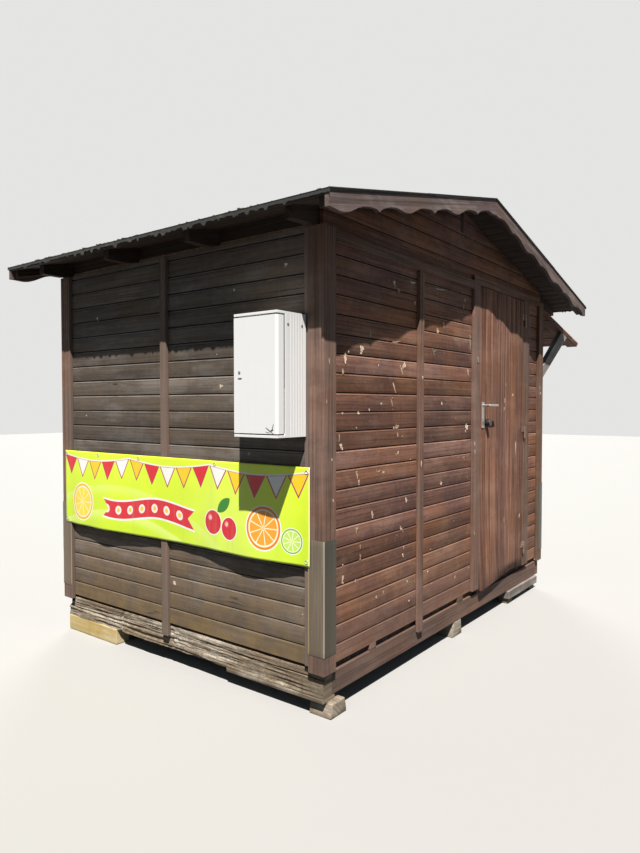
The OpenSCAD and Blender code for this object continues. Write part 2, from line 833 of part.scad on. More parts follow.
module hatch_flap() {
  color("#7d5c48")
    translate([0, -y_trim - seat, flap_z]) rotate([flap_slope, 0, 0])
      block([-flap_x, -flap_l, 0], [flap_x, 0, flap_t]);
}

// Braces from the corner boards up to the underside of the raised flap
module hatch_braces() {
  drop = tan(flap_slope);
  head = flap_z - brace_run * drop;
  lean = atan2(head - brace_z, brace_run);
  foot_cut = brace_h / cos(lean);
  head_cut = brace_h / sin(lean);
  y = -y_trim;
  color("#75523f")
    both_gables() across(flap_x - 5 - brace_w, flap_x - 5)
      polygon([[y, brace_z], [y - brace_run, head - seat],
        [y - brace_run + head_cut, head + head_cut * drop - seat], [y, brace_z + foot_cut]]);
}

module counter_board() {
  color("#8f6d54")
    block([-opening_x, -y_trim - counter_out, counter_z],
      [opening_x, -y_room, counter_z + counter_t]);
}

foot_blocks();
yellow_bearer();
packing_plank();
back_sill();
back_skirt();
front_sill();
side_sills();
floor_joists();
floor_boards();
wall_posts();
wall_plates();
back_wall();
far_side_wall();
door_side_wall();
door_gable();
front_wall_low();
front_wall_ends();
front_wall_head();
corner_boards();
corner_guards();
wall_battens();
side_rails();
door_casing();
door_stops();
door_leaf();
door_ledges();
door_hinge_pins();
door_hinge_plates();
door_handle_plate();
door_lever();
door_lock();
ridge_beam();
rafters();
eave_blocks();
roof_deck();
roof_felt();
bargeboards();
eave_boards();
cabinet_body();
cabinet_door();
cabinet_hinges();
banner();
hatch_flap();
hatch_braces();
counter_board();
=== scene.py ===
import bmesh
import bpy
import math
import random
from mathutils import Matrix, Vector, noise
from mathutils.bvhtree import BVHTree


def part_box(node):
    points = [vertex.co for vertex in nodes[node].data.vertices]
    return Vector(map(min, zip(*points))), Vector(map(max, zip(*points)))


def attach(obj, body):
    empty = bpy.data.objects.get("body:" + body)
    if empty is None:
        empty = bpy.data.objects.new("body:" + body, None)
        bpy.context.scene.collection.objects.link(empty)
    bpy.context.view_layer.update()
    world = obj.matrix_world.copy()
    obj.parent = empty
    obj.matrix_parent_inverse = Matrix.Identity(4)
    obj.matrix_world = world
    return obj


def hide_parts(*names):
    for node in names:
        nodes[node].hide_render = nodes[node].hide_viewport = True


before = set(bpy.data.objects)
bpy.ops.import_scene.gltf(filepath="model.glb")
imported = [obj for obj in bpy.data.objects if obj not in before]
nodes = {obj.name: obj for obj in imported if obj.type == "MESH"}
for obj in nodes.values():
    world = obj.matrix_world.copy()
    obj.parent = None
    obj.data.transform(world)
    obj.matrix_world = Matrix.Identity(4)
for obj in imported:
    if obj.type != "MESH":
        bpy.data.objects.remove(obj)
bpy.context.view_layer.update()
dice = random.Random(11)

# Sizes that the carpentry shares, in metres
cover = 0.092
first_joint = 0.235
board_t = 0.02
half_ridge = 0.0225
door_gap = 0.006
deck_depth, felt_depth = 0.0205, 0.0049
pitch = math.radians(12.5)
rise, level = math.sin(pitch), math.cos(pitch)
trim_x, trim_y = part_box("corner_boards")[1].x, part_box("corner_boards")[1].y
clad_x, clad_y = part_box("back_wall")[1].x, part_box("back_wall")[1].y
gable_way, far_way, back_way, front_way = (-1, 0, 0), (1, 0, 0), (0, 1, 0), (0, -1, 0)


# Working by hand
def hands_off():
    if bpy.context.object and bpy.context.object.mode != "OBJECT":
        bpy.ops.object.mode_set(mode="OBJECT")
    bpy.ops.object.select_all(action="DESELECT")


def take(piece):
    hands_off()
    piece.select_set(True)
    bpy.context.view_layer.objects.active = piece


def open_mesh(piece):
    take(piece)
    bpy.ops.object.mode_set(mode="EDIT")
    bpy.ops.mesh.select_all(action="DESELECT")


def close_mesh():
    bpy.ops.object.mode_set(mode="OBJECT")


def pick(kind, test):
    bpy.ops.mesh.select_mode(type=kind)
    bpy.ops.mesh.select_all(action="DESELECT")
    mesh = bmesh.from_edit_mesh(bpy.context.object.data)
    group = {"VERT": mesh.verts, "EDGE": mesh.edges, "FACE": mesh.faces}[kind]
    for item in group:
        if test(item):
            item.select_set(True)
    mesh.select_flush_mode()
    bmesh.update_edit_mesh(bpy.context.object.data)


def cut(place, normal, clear=False):
    bpy.ops.mesh.select_all(action="SELECT")
    bpy.ops.mesh.bisect(plane_co=place, plane_no=normal, use_fill=clear, clear_outer=clear)


def trim_off(piece, *planes):
    open_mesh(piece)
    for place, normal in planes:
        cut(place, normal, True)
    close_mesh()


def cuts_between(low, high, count, axis):
    normal = [0, 0, 0]
    normal[axis] = 1
    for i in range(1, count):
        place = [0, 0, 0]
        place[axis] = low + (high - low) * i / count
        cut(place, normal)


# Extra cuts in a whole piece: each run is a low end, a high end, a count and an axis
def slice_up(piece, *runs):
    open_mesh(piece)
    for run in runs:
        cuts_between(*run)
    close_mesh()


def fresh(name, form, **sizes):
    hands_off()
    getattr(bpy.ops.mesh, f"primitive_{form}_add")(**sizes)
    bpy.context.object.name = name
    return bpy.context.object


def block(name, low, high):
    low, high = Vector(low), Vector(high)
    piece = fresh(name, "cube", size=1, location=(low + high) / 2, scale=high - low)
    bpy.ops.object.transform_apply(location=True, rotation=True, scale=True)
    return piece


def disc(name, radius, depth, corners):
    return fresh(name, "cylinder", vertices=corners, radius=radius, depth=depth)


def modified(piece, kind, **settings):
    take(piece)
    change = piece.modifiers.new(kind, kind)
    for key, value in settings.items():
        setattr(change, key, value)
    bpy.ops.object.modifier_apply(modifier=change.name)


def smooth(piece, angle=40):
    take(piece)
    bpy.ops.object.shade_smooth_by_angle(angle=math.radians(angle))


def soften(piece, width):
    modified(piece, "BEVEL", width=width, segments=2, limit_method="ANGLE", angle_limit=math.radians(35))
    smooth(piece)


def copy_of(node, name):
    piece = nodes[node].copy()
    piece.data = nodes[node].data.copy()
    piece.name = name
    piece.parent = None
    for key in list(piece.keys()):
        del piece[key]
    piece.data.materials.clear()
    bpy.context.scene.collection.objects.link(piece)
    take(piece)
    bpy.ops.mesh.customdata_custom_splitnormals_clear()
    open_mesh(piece)
    bpy.ops.mesh.select_all(action="SELECT")
    bpy.ops.mesh.remove_doubles(threshold=0.00002)
    bpy.ops.mesh.dissolve_limited(angle_limit=math.radians(0.5))
    close_mesh()
    return piece


def linked(name, data):
    made = bpy.data.objects.new(name, data)
    bpy.context.scene.collection.objects.link(made)
    return made


def copies(name, master, places):
    whole = bmesh.new()
    for place in places:
        first = len(whole.verts)
        whole.from_mesh(master.data)
        whole.verts.ensure_lookup_table()
        for vert in whole.verts[first:]:
            vert.co = place @ vert.co
    mesh = bpy.data.meshes.new(name)
    whole.to_mesh(mesh)
    whole.free()
    bpy.data.objects.remove(master)
    return linked(name, mesh)


def join(name, *pieces):
    hands_off()
    for piece in pieces:
        piece.select_set(True)
    bpy.context.view_layer.objects.active = pieces[0]
    bpy.ops.object.join()
    pieces[0].name = name
    return pieces[0]


def axes(along, out, origin):
    along, out = Vector(along), Vector(out)
    return Matrix.Translation(origin) @ Matrix((along, out, along.cross(out))).transposed().to_4x4()


def facing(spot, normal):
    normal = Vector(normal).normalized()
    side = Vector((0, 0, 1)).cross(normal)
    if side.length < 0.1:
        side = Vector((1, 0, 0)).cross(normal)
    side.normalize()
    return Matrix.Translation(spot) @ Matrix((side, normal.cross(side), normal)).transposed().to_4x4()


def skin_of(piece):
    spots = [vert.co for vert in piece.data.vertices]
    return BVHTree.FromPolygons(spots, [face.vertices for face in piece.data.polygons])


def eased(value):
    value = min(1.0, max(0.0, value))
    return value * value * (3 - 2 * value)


def ruffle(piece, depth, scale):
    for vert in piece.data.vertices:
        vert.co += vert.normal * noise.noise(vert.co * scale) * depth
    piece.data.update()


# The grain runs along each loose board, and no two boards show the same stretch of it
def lay_grain(piece):
    mesh = bmesh.new()
    mesh.from_mesh(piece.data)
    while mesh.loops.layers.uv:
        mesh.loops.layers.uv.remove(mesh.loops.layers.uv[0])
    sheet = mesh.loops.layers.uv.new("grain")
    shade = mesh.verts.layers.float.get("board") or mesh.verts.layers.float.new("board")
    seen = set()
    for start in mesh.verts:
        if start in seen:
            continue
        seen.add(start)
        board, search = [start], [start]
        while search:
            vert = search.pop()
            for edge in vert.link_edges:
                other = edge.other_vert(vert)
                if other not in seen:
                    seen.add(other)
                    board.append(other)
                    search.append(other)
        longest = max((e for v in board for e in v.link_edges), key=lambda e: e.calc_length(), default=None)
        if longest is None:
            continue
        along = (longest.verts[1].co - longest.verts[0].co).normalized()
        shift = Vector((dice.uniform(0, 30), dice.uniform(0, 30)))
        tone = dice.random()
        for vert in board:
            vert[shade] = tone
        for face in {f for v in board for f in v.link_faces}:
            across = face.normal.cross(along)
            run = along
            if across.length < 0.4:
                run = face.normal.orthogonal().normalized()
                across = face.normal.cross(run)
            across.normalize()
            for loop in face.loops:
                spot = Vector((loop.vert.co.dot(run), loop.vert.co.dot(across)))
                loop[sheet].uv = spot + shift
    mesh.to_mesh(piece.data)
    mesh.free()


# Finishing
def settle(piece, finish, slot, stands_for=(), body="hut", grain=True):
    if grain:
        lay_grain(piece)
    piece.data.materials.clear()
    piece.data.materials.append(finish)
    if stands_for:
        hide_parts(*stands_for)
    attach(piece, body)
    return piece


# A signal is an output socket that can be added, multiplied and so on
class Signal:
    def __init__(self, socket):
        self.socket = socket
        self.tree = socket.id_data

    def __add__(self, other):
        return reckon("ADD", self, other)

    def __sub__(self, other):
        return reckon("SUBTRACT", self, other)

    def __rsub__(self, other):
        return reckon("SUBTRACT", other, self)

    def __mul__(self, other):
        return reckon("MULTIPLY", self, other)

    def __truediv__(self, other):
        return reckon("DIVIDE", self, other)

    def __rtruediv__(self, other):
        return reckon("DIVIDE", other, self)

    def __abs__(self):
        return reckon("ABSOLUTE", self)


def feed(socket, value):
    if isinstance(value, Signal):
        socket.id_data.links.new(value.socket, socket)
    elif socket.type == "RGBA":
        socket.default_value = (*value, 1.0)
    else:
        socket.default_value = value


def feed_all(sockets, **values):
    for label, value in values.items():
        feed(sockets[label.replace("_", " ")], value)


# Adds a node and gives its outputs, by number and by name
def add(tree, kind, values=None, **settings):
    made = tree.nodes.new("ShaderNode" + kind)
    for key, value in settings.items():
        setattr(made, key, value)
    for key, value in (values or {}).items():
        feed(made.inputs[key], value)
    outputs = dict(enumerate(map(Signal, made.outputs)))
    return {signal.socket.name: signal for signal in outputs.values()} | outputs


def reckon(operation, *values):
    tree = next(value.tree for value in values if isinstance(value, Signal))
    return add(tree, "Math", dict(enumerate(values)), operation=operation)[0]


def product_plus(value, factor, extra):
    return reckon("MULTIPLY_ADD", value, factor, extra)


def fraction(value):
    return reckon("FRACT", value)


def larger(first, second):
    return reckon("MAXIMUM", first, second)


def parts_of(vector):
    parts = add(vector.tree, "SeparateXYZ", {0: vector})
    return parts[0], parts[1], parts[2]


# Noise; three scales in place of one stretch it along the axes
def speckle(vector, scale, detail=3.0, roughness=0.55, distortion=0.0, shift=(0, 0, 0)):
    if isinstance(scale, tuple):
        vector = add(vector.tree, "Mapping", {"Vector": vector, "Scale": scale, "Location": shift})[0]
        scale = 1.0
    return add(vector.tree, "TexNoise", {"Vector": vector, "Scale": scale, "Detail": detail,
                                         "Roughness": roughness, "Distortion": distortion})[0]


def ease(value, low, high, start=0.0, end=1.0):
    reach = {"Value": value, "From Min": low, "From Max": high, "To Min": start, "To Max": end}
    return add(value.tree, "MapRange", reach, interpolation_type="SMOOTHSTEP")[0]


def tone_mix(factor, first, second):
    return add(factor.tree, "Mix", {0: factor, 6: first, 7: second}, data_type="RGBA")[2]


def coat(under, mask, strength, tone):
    return tone_mix(mask * strength, under, tone)


def shaded(tone, share):
    return tuple(share * value for value in tone)


def relieved(shader, height, strength, distance):
    relief = add(height.tree, "Bump", {"Height": height, "Strength": strength, "Distance": distance})
    feed(shader["Normal"], relief[0])


# A group of effects takes a place and plain numbers, and gives masks
def new_group(name, numbers, masks):
    group = bpy.data.node_groups.new(name, "ShaderNodeTree")
    group.interface.new_socket(name="Vector", in_out="INPUT", socket_type="NodeSocketVector")
    for label, value in numbers.items():
        socket = group.interface.new_socket(name=label, in_out="INPUT", socket_type="NodeSocketFloat")
        socket.default_value = value
    for label in masks:
        group.interface.new_socket(name=label, in_out="OUTPUT", socket_type="NodeSocketFloat")
    taken = group.nodes.new("NodeGroupInput").outputs
    given = group.nodes.new("NodeGroupOutput").inputs
    return group, [Signal(taken[label]) for label in ("Vector", *numbers)], given


def placed(group, spot, **numbers):
    values = {"Vector": spot} | {label.replace("_", " "): value for label, value in numbers.items()}
    return add(spot.tree, "Group", values, node_tree=group)


# Fibres, streaks, growth bands, drying cracks and knots in sawn boards
grain_group, (sheet,), gave = new_group(
    "timber grain", {}, ("Fibre", "Streaks", "Bands", "Crack", "Knot", "Height"))
cells = add(grain_group, "Mapping", {"Vector": sheet, "Scale": (2.0, 9.0, 1.0)})[0]
cells = add(grain_group, "TexVoronoi", {"Vector": cells, "Scale": 1.0})
rare = ease(add(grain_group, "SeparateColor", {0: cells["Color"]})[0], 0.62, 0.66)
swerve = ease(cells["Distance"], 0.32, 0.02) * rare * 0.016
swerve = add(grain_group, "CombineXYZ", {1: swerve})[0]
bent = add(grain_group, "VectorMath", {0: sheet, 1: swerve}, operation="ADD")[0]
fibre = speckle(bent, (5.0, 330.0, 1.0), 4.0, 0.65)
streaks = speckle(bent, (1.6, 85.0, 1.0), 4.0, 0.62)
bands = speckle(bent, (0.55, 24.0, 1.0), 3.0, 0.5, 0.5)
splits = speckle(bent, (0.9, 120.0, 1.0), 2.0, 0.5, shift=(7, 3, 0))
dry_places = speckle(sheet, (0.8, 6.0, 1.0), 2.0, 0.5, shift=(2, 9, 0))
crack = ease(splits, 0.66, 0.7) * ease(dry_places, 0.52, 0.6)
knot = ease(cells["Distance"], 0.085, 0.045) * rare
height = product_plus(streaks, 0.8, fibre) - crack * 1.2 - knot * 0.4
feed_all(gave, Fibre=ease(fibre, 0.32, 0.68), Streaks=ease(streaks, 0.42, 0.64),
         Bands=ease(bands, 0.38, 0.62), Crack=crack, Knot=knot, Height=height)

# Sun-bleached patches, stain that has turned redder or greyer, splashed dirt and scuffs
weather_group, (spot, splash_top), gave = new_group(
    "weathering", {"Splash Top": 0.75}, ("Bleach", "Blotch", "Grime", "Runs", "Scuff"))
low_down = {"Value": parts_of(spot)[2], "From Min": splash_top, "From Max": 0.2}
splashed = add(weather_group, "MapRange", low_down)[0]
feed_all(gave, Bleach=ease(speckle(spot, (2.6, 2.6, 7.0), 5.0, 0.62), 0.45, 0.66),
         Blotch=ease(speckle(spot, 2.3, 4.0, 0.6), 0.38, 0.62),
         Grime=ease(speckle(spot, 9.0, 5.0, 0.65), 0.36, 0.66, 0.35, 1.0) * splashed,
         Runs=ease(speckle(spot, (30.0, 30.0, 1.6), 3.0, 0.6), 0.54, 0.74),
         Scuff=ease(speckle(spot, 38.0, 4.0, 0.7), 0.5, 0.72))

# Each lapped wall board's shoulder painted paler, a painted highlight mottled like wear, and its gap and
# quirk painted near-black, painted shade with dirt
lap_group, (spot,), gave = new_group("lapped joints", {}, ("Shoulder", "Gap"))
share = fraction((parts_of(spot)[2] - first_joint) / cover)
worn = ease(speckle(spot, (9.0, 9.0, 30.0), 3.0, 0.6), 0.34, 0.6)
shoulder = ease(share, 0.868, 0.882) * ease(share, 0.953, 0.942)
gap = larger(ease(share, 0.944, 0.956), ease(share, 0.024, 0.012))
quirk = ease(share, 0.842, 0.85) * ease(share, 0.873, 0.864)
feed_all(gave, Shoulder=shoulder * product_plus(worn, 0.7, 0.3), Gap=larger(gap, quirk * 0.8))


# A new material, the inputs of its shader, and the place on the object
def new_finish(name):
    finish = bpy.data.materials.new(name)
    finish.use_nodes = True
    tree = finish.node_tree
    return finish, tree.nodes["Principled BSDF"].inputs, add(tree, "TexCoord")["Object"]


def timber(name, stain, dark, pale, warm, bleach=0.5, grime=0.4, variety=0.35, bump=0.5, bands=0.6,
           streaks=0.6, joints=0.0, splash=0.75, dirt=(0.1, 0.085, 0.07), greyed=0.0, scuff=0.0):
    finish, shader, spot = new_finish(name)
    tree = spot.tree
    grain = placed(grain_group, add(tree, "UVMap", uv_map="grain")[0])
    weathering = placed(weather_group, spot, Splash_Top=splash)
    board = add(tree, "Attribute", attribute_name="board")["Fac"]
    tone = tone_mix(weathering["Blotch"], stain, warm)
    tone = coat(tone, grain["Bands"], bands, dark)
    tone = coat(tone, weathering["Bleach"], bleach, pale)
    tone = coat(tone, grain["Streaks"], streaks, shaded(dark, 0.75))
    if scuff:
        tone = coat(tone, weathering["Scuff"], scuff, pale)
    tone = coat(tone, weathering["Runs"], 0.2, shaded(dark, 0.8))
    tone = coat(tone, grain["Knot"], 0.8, shaded(dark, 0.4))
    # Where joints is given: a painted highlight on each board's shoulder, and painted shade with dirt in each
    # gap
    if joints:
        laps = placed(lap_group, spot)
        tone = coat(tone, laps["Shoulder"], joints, shaded(pale, 1.12))
        tone = coat(tone, laps["Gap"], 0.96, shaded(dark, 0.08))
    if greyed:
        x, y, z = parts_of(spot)
        sunny = ease(y, clad_y - 0.002, clad_y + 0.002) * ease(abs(x), 0.99, 0.97)
        tone = coat(tone, sunny, greyed, (0.15, 0.122, 0.104))
    tone = coat(tone, weathering["Grime"], grime, dirt)
    tone = coat(tone, grain["Crack"], 0.85, shaded(dark, 0.2))
    turned = fraction(board * 7.3)
    tone = add(tree, "HueSaturation", {
        "Color": tone,
        "Hue": product_plus(turned, 0.014 * variety, 0.5 - 0.007 * variety),
        "Saturation": product_plus(turned, 0.24 * variety, 1.0 - 0.12 * variety),
        "Value": product_plus(board, variety, 1.0 - variety / 2),
    })[0]
    feed_all(shader, Base_Color=tone, Roughness=ease(grain["Streaks"], 0.0, 1.0, 0.66, 0.86),
             Specular_IOR_Level=0.13)
    relieved(shader, grain["Height"], bump, 0.0016)
    return finish


def metal(name, tone, worn, rough, metallic, scuff=0.5, grime=0.3, bump=0.1, dirt=(0.12, 0.1, 0.08),
          runs=0.0):
    finish, shader, spot = new_finish(name)
    weathering = placed(weather_group, spot)
    tone = coat(tone, weathering["Scuff"], scuff, worn)
    tone = coat(tone, weathering["Blotch"], grime, dirt)
    tone = coat(tone, weathering["Runs"], runs, dirt)
    feed_all(shader, Base_Color=tone, Roughness=ease(weathering["Scuff"], 0.0, 1.0, rough, rough + 0.18),
             Metallic=metallic)
    relieved(shader, speckle(spot, 90.0, 3.0, 0.6), bump, 0.001)
    return finish


# Each timber has its stain, a dark, a pale and a warm tone
red_boards = timber(
    "stained cladding", (0.184, 0.095, 0.074), (0.088, 0.048, 0.041), (0.43, 0.255, 0.18), (0.3, 0.138, 0.08),
    bleach=0.42, grime=0.5, variety=0.6, bands=0.38, streaks=0.38, joints=0.32, scuff=0.24,
    dirt=(0.285, 0.186, 0.136))
back_boards = timber(
    "faded back cladding", (0.134, 0.108, 0.089), (0.064, 0.053, 0.046), (0.27, 0.24, 0.214),
    (0.16, 0.118, 0.084), grime=0.8, bands=0.32, streaks=0.32, joints=0.45, scuff=0.18,
    dirt=(0.262, 0.172, 0.08))
trim_boards = timber(
    "corner and casing boards", (0.214, 0.139, 0.109), (0.102, 0.066, 0.052), (0.33, 0.205, 0.158),
    (0.24, 0.126, 0.082), bleach=0.35, grime=0.3, greyed=0.6, scuff=0.15)
door_boards = timber(
    "door boards", (0.285, 0.144, 0.096), (0.11, 0.054, 0.039), (0.44, 0.245, 0.165), (0.3, 0.138, 0.076),
    bleach=0.3, grime=0.25, variety=0.45, bands=0.7, streaks=0.9, scuff=0.12)
# Near-black roof timbers: a dark stain that also stands in for the shade under the roof, painted shade
roof_timber_stain_and_shade = timber(
    "roof timber, dark stain and painted shade", (0.04, 0.028, 0.022), (0.02, 0.014, 0.012), (0.085, 0.062, 0.05),
    (0.05, 0.034, 0.026), bleach=0.3, grime=0.1)
sawn_timber = timber(
    "sawn framing", (0.4, 0.27, 0.15), (0.24, 0.145, 0.075), (0.5, 0.38, 0.25), (0.44, 0.28, 0.14),
    bleach=0.4, grime=0.15)
# Very dark floor timber: dirt, and painted shade for the slot under the lowest wall boards
floor_dirt_and_shade = timber(
    "dirty floor timber with painted shade", (0.085, 0.066, 0.05), (0.04, 0.03, 0.024), (0.15, 0.12, 0.095), (0.095, 0.07, 0.05),
    bleach=0.3, splash=0.5, dirt=(0.035, 0.03, 0.026))
old_sill = timber(
    "weathered sill", (0.3, 0.238, 0.17), (0.105, 0.08, 0.056), (0.66, 0.58, 0.465), (0.32, 0.235, 0.15),
    bleach=0.85, grime=0.2, bump=1.0, splash=0.4)
barge_timber = timber(
    "scalloped boards", (0.14, 0.104, 0.097), (0.07, 0.052, 0.048), (0.3, 0.24, 0.222), (0.168, 0.112, 0.093),
    bleach=0.52, grime=0.1, bump=0.7)
yellow_timber = timber(
    "yellow painted bearer", (0.66, 0.51, 0.23), (0.46, 0.34, 0.17), (0.83, 0.74, 0.52), (0.64, 0.45, 0.15),
    bleach=0.7, grime=0.5, bands=0.3, streaks=0.3, splash=0.2, dirt=(0.36, 0.29, 0.18))
grey_timber = timber(
    "grey plank", (0.3, 0.27, 0.25), (0.15, 0.135, 0.12), (0.55, 0.52, 0.48), (0.32, 0.27, 0.24), bleach=0.6)
bare_wood = timber(
    "bare wood in flaked spots", (0.78, 0.61, 0.46), (0.5, 0.36, 0.25), (0.87, 0.76, 0.64), (0.72, 0.5, 0.33),
    bleach=0.7, grime=0.0, variety=0.8)


# Bare corner guards: dull zinc with brown streaks, painted highlights along the arris and the back leg's
# outer edge, and the gable-side leg much darker, most of all towards its top
def guard_finish():
    finish, shader, spot = new_finish("grey corner guard")
    x, y, z = parts_of(spot)
    side_x, side_y = abs(x), abs(y)
    leg_end = trim_x - 0.093
    drawn = speckle(spot, (110.0, 110.0, 2.2), 3.0, 0.6)
    tone = tone_mix(ease(drawn, 0.35, 0.65), (0.12, 0.094, 0.066), (0.18, 0.142, 0.102))
    tone = coat(tone, placed(weather_group, spot)["Blotch"], 0.5, (0.165, 0.112, 0.075))
    gable_leg = ease(side_x, trim_x + 0.0002, trim_x + 0.001)
    tone = coat(tone, gable_leg, 0.88, (0.044, 0.037, 0.024))
    tone = coat(tone, gable_leg * ease(z, 0.62, 0.83), 0.6, (0.03, 0.034, 0.022))
    # Painted highlights: paler along the arris and along the back leg's outer edge
    arris_highlight = ease(side_x, trim_x - 0.0045, trim_x) * ease(side_y, trim_y - 0.0045, trim_y)
    tone = coat(tone, arris_highlight, 0.7, (0.46, 0.42, 0.34))
    outer_edge_highlight = ease(side_x, leg_end + 0.007, leg_end + 0.005) * ease(side_y, trim_y, trim_y + 0.0004)
    tone = coat(tone, outer_edge_highlight, 0.75, (0.44, 0.33, 0.15))
    feed_all(shader, Base_Color=tone, Roughness=ease(drawn, 0.3, 0.7, 0.34, 0.52), Metallic=0.25)
    relieved(shader, drawn + speckle(spot, 45.0, 3.0, 0.6), 0.3, 0.001)
    return finish


guard_metal = guard_finish()
hinge_iron = metal("hinge iron", (0.17, 0.11, 0.085), (0.52, 0.38, 0.3), 0.6, 0.2, 0.9, 0.3)
lever_steel = metal("handle steel", (0.46, 0.44, 0.41), (0.26, 0.24, 0.22), 0.34, 0.6, 0.5, 0.2, 0.03)
lock_black = metal("black lock", (0.012, 0.012, 0.013), (0.05, 0.05, 0.05), 0.35, 0.0, 0.4, 0.1, 0.05)
nail_iron = metal("nail heads", (0.075, 0.06, 0.05), (0.2, 0.12, 0.07), 0.55, 0.5, 0.8, 0.4)
white_paint = metal("cabinet paint", (0.785, 0.78, 0.77), (0.73, 0.72, 0.695), 0.4, 0.0, 0.2, 0.06, 0.03,
                    (0.66, 0.64, 0.59), 0.12)
scratched = metal("scratched cabinet metal", (0.13, 0.13, 0.13), (0.3, 0.29, 0.27), 0.5, 0.4, 0.8, 0.2)
moss = metal("moss and lichen", (0.2, 0.19, 0.1), (0.62, 0.6, 0.5), 0.95, 0.0, 0.9, 0.5, 0.6,
             (0.1, 0.1, 0.04))


# Wall boards: a rounded foot, a flat face, a small quirk, a sloping shoulder and a set-back tongue
tongue_back = 0.0105
board_shape = ((0.078, 0.0), (0.0788, -0.0018), (0.0796, -0.0005), (0.0872, -0.0018), (0.0877, -tongue_back))


def model_wall_board(length):
    board = block("board", (0, 0, 0), (length, board_t, 0.094))
    open_mesh(board)
    for height, inward in board_shape:
        cut((0, 0, height), (0, 0, 1))
    for height, inward in board_shape:
        pick("VERT", lambda v: abs(v.co.z - height) < 0.0001 and v.co.y > board_t / 2)
        bpy.ops.transform.translate(value=(0, inward, 0))
    pick("VERT", lambda v: v.co.z > 0.0939 and v.co.y > board_t / 2)
    bpy.ops.transform.translate(value=(0, -tongue_back, 0))
    pick("EDGE", lambda e: all(v.co.y > board_t - 0.001 and v.co.z < 0.001 for v in e.verts))
    bpy.ops.mesh.bevel(offset=0.0026, segments=2, affect="EDGES")
    cuts_between(0, length, max(1, min(6, int(length / 0.1))), 0)
    close_mesh()
    return board


# Boards over a wall's whole box, or over a span of it beside an opening
def clad(name, node, along, out, span=None, stands_for=True, sloped=False,
         look=(red_boards, "stained_timber")):
    low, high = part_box(node)
    axis = 0 if along[0] else 1
    span_low, span_high = span or (low[axis], high[axis])
    start = [high[i] if along[i] + out[i] < 0 else low[i] for i in range(3)]
    start[axis] = span_low if along[axis] > 0 else span_high
    first = math.floor((low.z - first_joint) / cover + 0.02)
    last = math.ceil((high.z - first_joint) / cover - 0.02)
    places = []
    for k in range(first, last):
        origin = Vector(start) + Vector((0, 0, first_joint + k * cover - start[2]))
        lean = Matrix.Rotation(dice.uniform(-0.0015, 0.0015), 4, "X")
        turn = Matrix.Rotation(dice.uniform(-0.0004, 0.0004), 4, "Z")
        origin += Vector(out) * dice.uniform(-0.0014, 0.0)
        places.append(axes(along, out, origin) @ lean @ turn)
    field = copies(name, model_wall_board(span_high - span_low), places)
    trim_off(field, (low, (0, 0, -1)), (high, (0, 0, 1)))
    ruffle(field, 0.0008, 5.0)
    smooth(field, 50)
    if sloped:
        peak = (0, 0, high.z + half_ridge * math.tan(pitch))
        trim_off(field, (peak, (0, -rise, level)), (peak, (0, rise, level)))
    return settle(field, *look, [node] if stands_for else ())


door_low, door_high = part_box("door_leaf")
side_low, side_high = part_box("door_side_wall")
ends_low, ends_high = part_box("front_wall_ends")
opening_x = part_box("counter_board")[1].x
back_field = clad("back_wall_boards", "back_wall", far_way, back_way, look=(back_boards, "back_boards"))
back_span, front_span = (door_high.y + door_gap, side_high.y), (side_low.y, door_low.y - door_gap)
side_fields = [
    clad("door_side_boards_back", "door_side_wall", back_way, gable_way, back_span),
    clad("door_side_boards_front", "door_side_wall", back_way, gable_way, front_span, False),
]
clad("door_gable_boards", "door_gable", back_way, gable_way, sloped=True)
far_field = clad("far_side_boards", "far_side_wall", front_way, far_way, sloped=True)
front_field = clad("front_wall_low_boards", "front_wall_low", gable_way, front_way)
clad("front_wall_head_boards", "front_wall_head", gable_way, front_way)
clad("front_boards_left", "front_wall_ends", gable_way, front_way, (ends_low.x, -opening_x))
clad("front_boards_right", "front_wall_ends", gable_way, front_way, (opening_x, ends_high.x), False)


# Pieces that keep the frame's form: edges rubbed round, and flat faces with an even shade up to them
def keep_form(node, name, finish, slot, width, body="hut"):
    piece = copy_of(node, name)
    soften(piece, width)
    settle(piece, finish, slot, [node], body)
    modified(piece, "WEIGHTED_NORMAL", keep_sharp=True)


for row in (
    ("corner_boards", "corner_board_angles", trim_boards, "trim_timber", 0.003),
    ("wall_battens", "cover_battens", trim_boards, "trim_timber", 0.003),
    ("side_rails", "gable_rails", trim_boards, "trim_timber", 0.003),
    ("door_casing", "door_casing_boards", trim_boards, "trim_timber", 0.003),
    ("door_stops", "door_stop_strips", sawn_timber, "frame_timber", 0.002),
    ("front_sill", "front_sill_beam", red_boards, "stained_timber", 0.004),
    ("side_sills", "side_sill_beams", trim_boards, "stained_timber", 0.004),
    ("floor_joists", "floor_joist_timbers", floor_dirt_and_shade, "frame_timber", 0.002),
    ("wall_posts", "wall_studs", sawn_timber, "frame_timber", 0.002),
    ("wall_plates", "wall_plate_timbers", sawn_timber, "frame_timber", 0.002),
    ("ridge_beam", "ridge_timber", roof_timber_stain_and_shade, "frame_timber", 0.003),
    ("rafters", "rafter_timbers", roof_timber_stain_and_shade, "trim_timber", 0.002),
    ("eave_blocks", "eave_blocking", roof_timber_stain_and_shade, "trim_timber", 0.002),
    ("bargeboards", "scalloped_bargeboards", barge_timber, "barge_timber", 0.0025),
    ("eave_boards", "eave_strips", roof_timber_stain_and_shade, "trim_timber", 0.003),
    ("hatch_braces", "flap_braces", grey_timber, "trim_timber", 0.003),
    ("counter_board", "counter_plank", trim_boards, "trim_timber", 0.004),
    ("foot_blocks", "foot_block_timbers", old_sill, "old_timber", 0.006),
    ("yellow_bearer", "painted_bearer", yellow_timber, "yellow_paint", 0.006),
    ("packing_plank", "grey_packing", grey_timber, "grey_timber", 0.005),
):
    keep_form(*row)


# The old back sill: layers worn apart, a broken joint, a rotten stretch and a crumbled end
rotten_x, broken_x, crumbled_x = 0.02, 0.485, 0.985


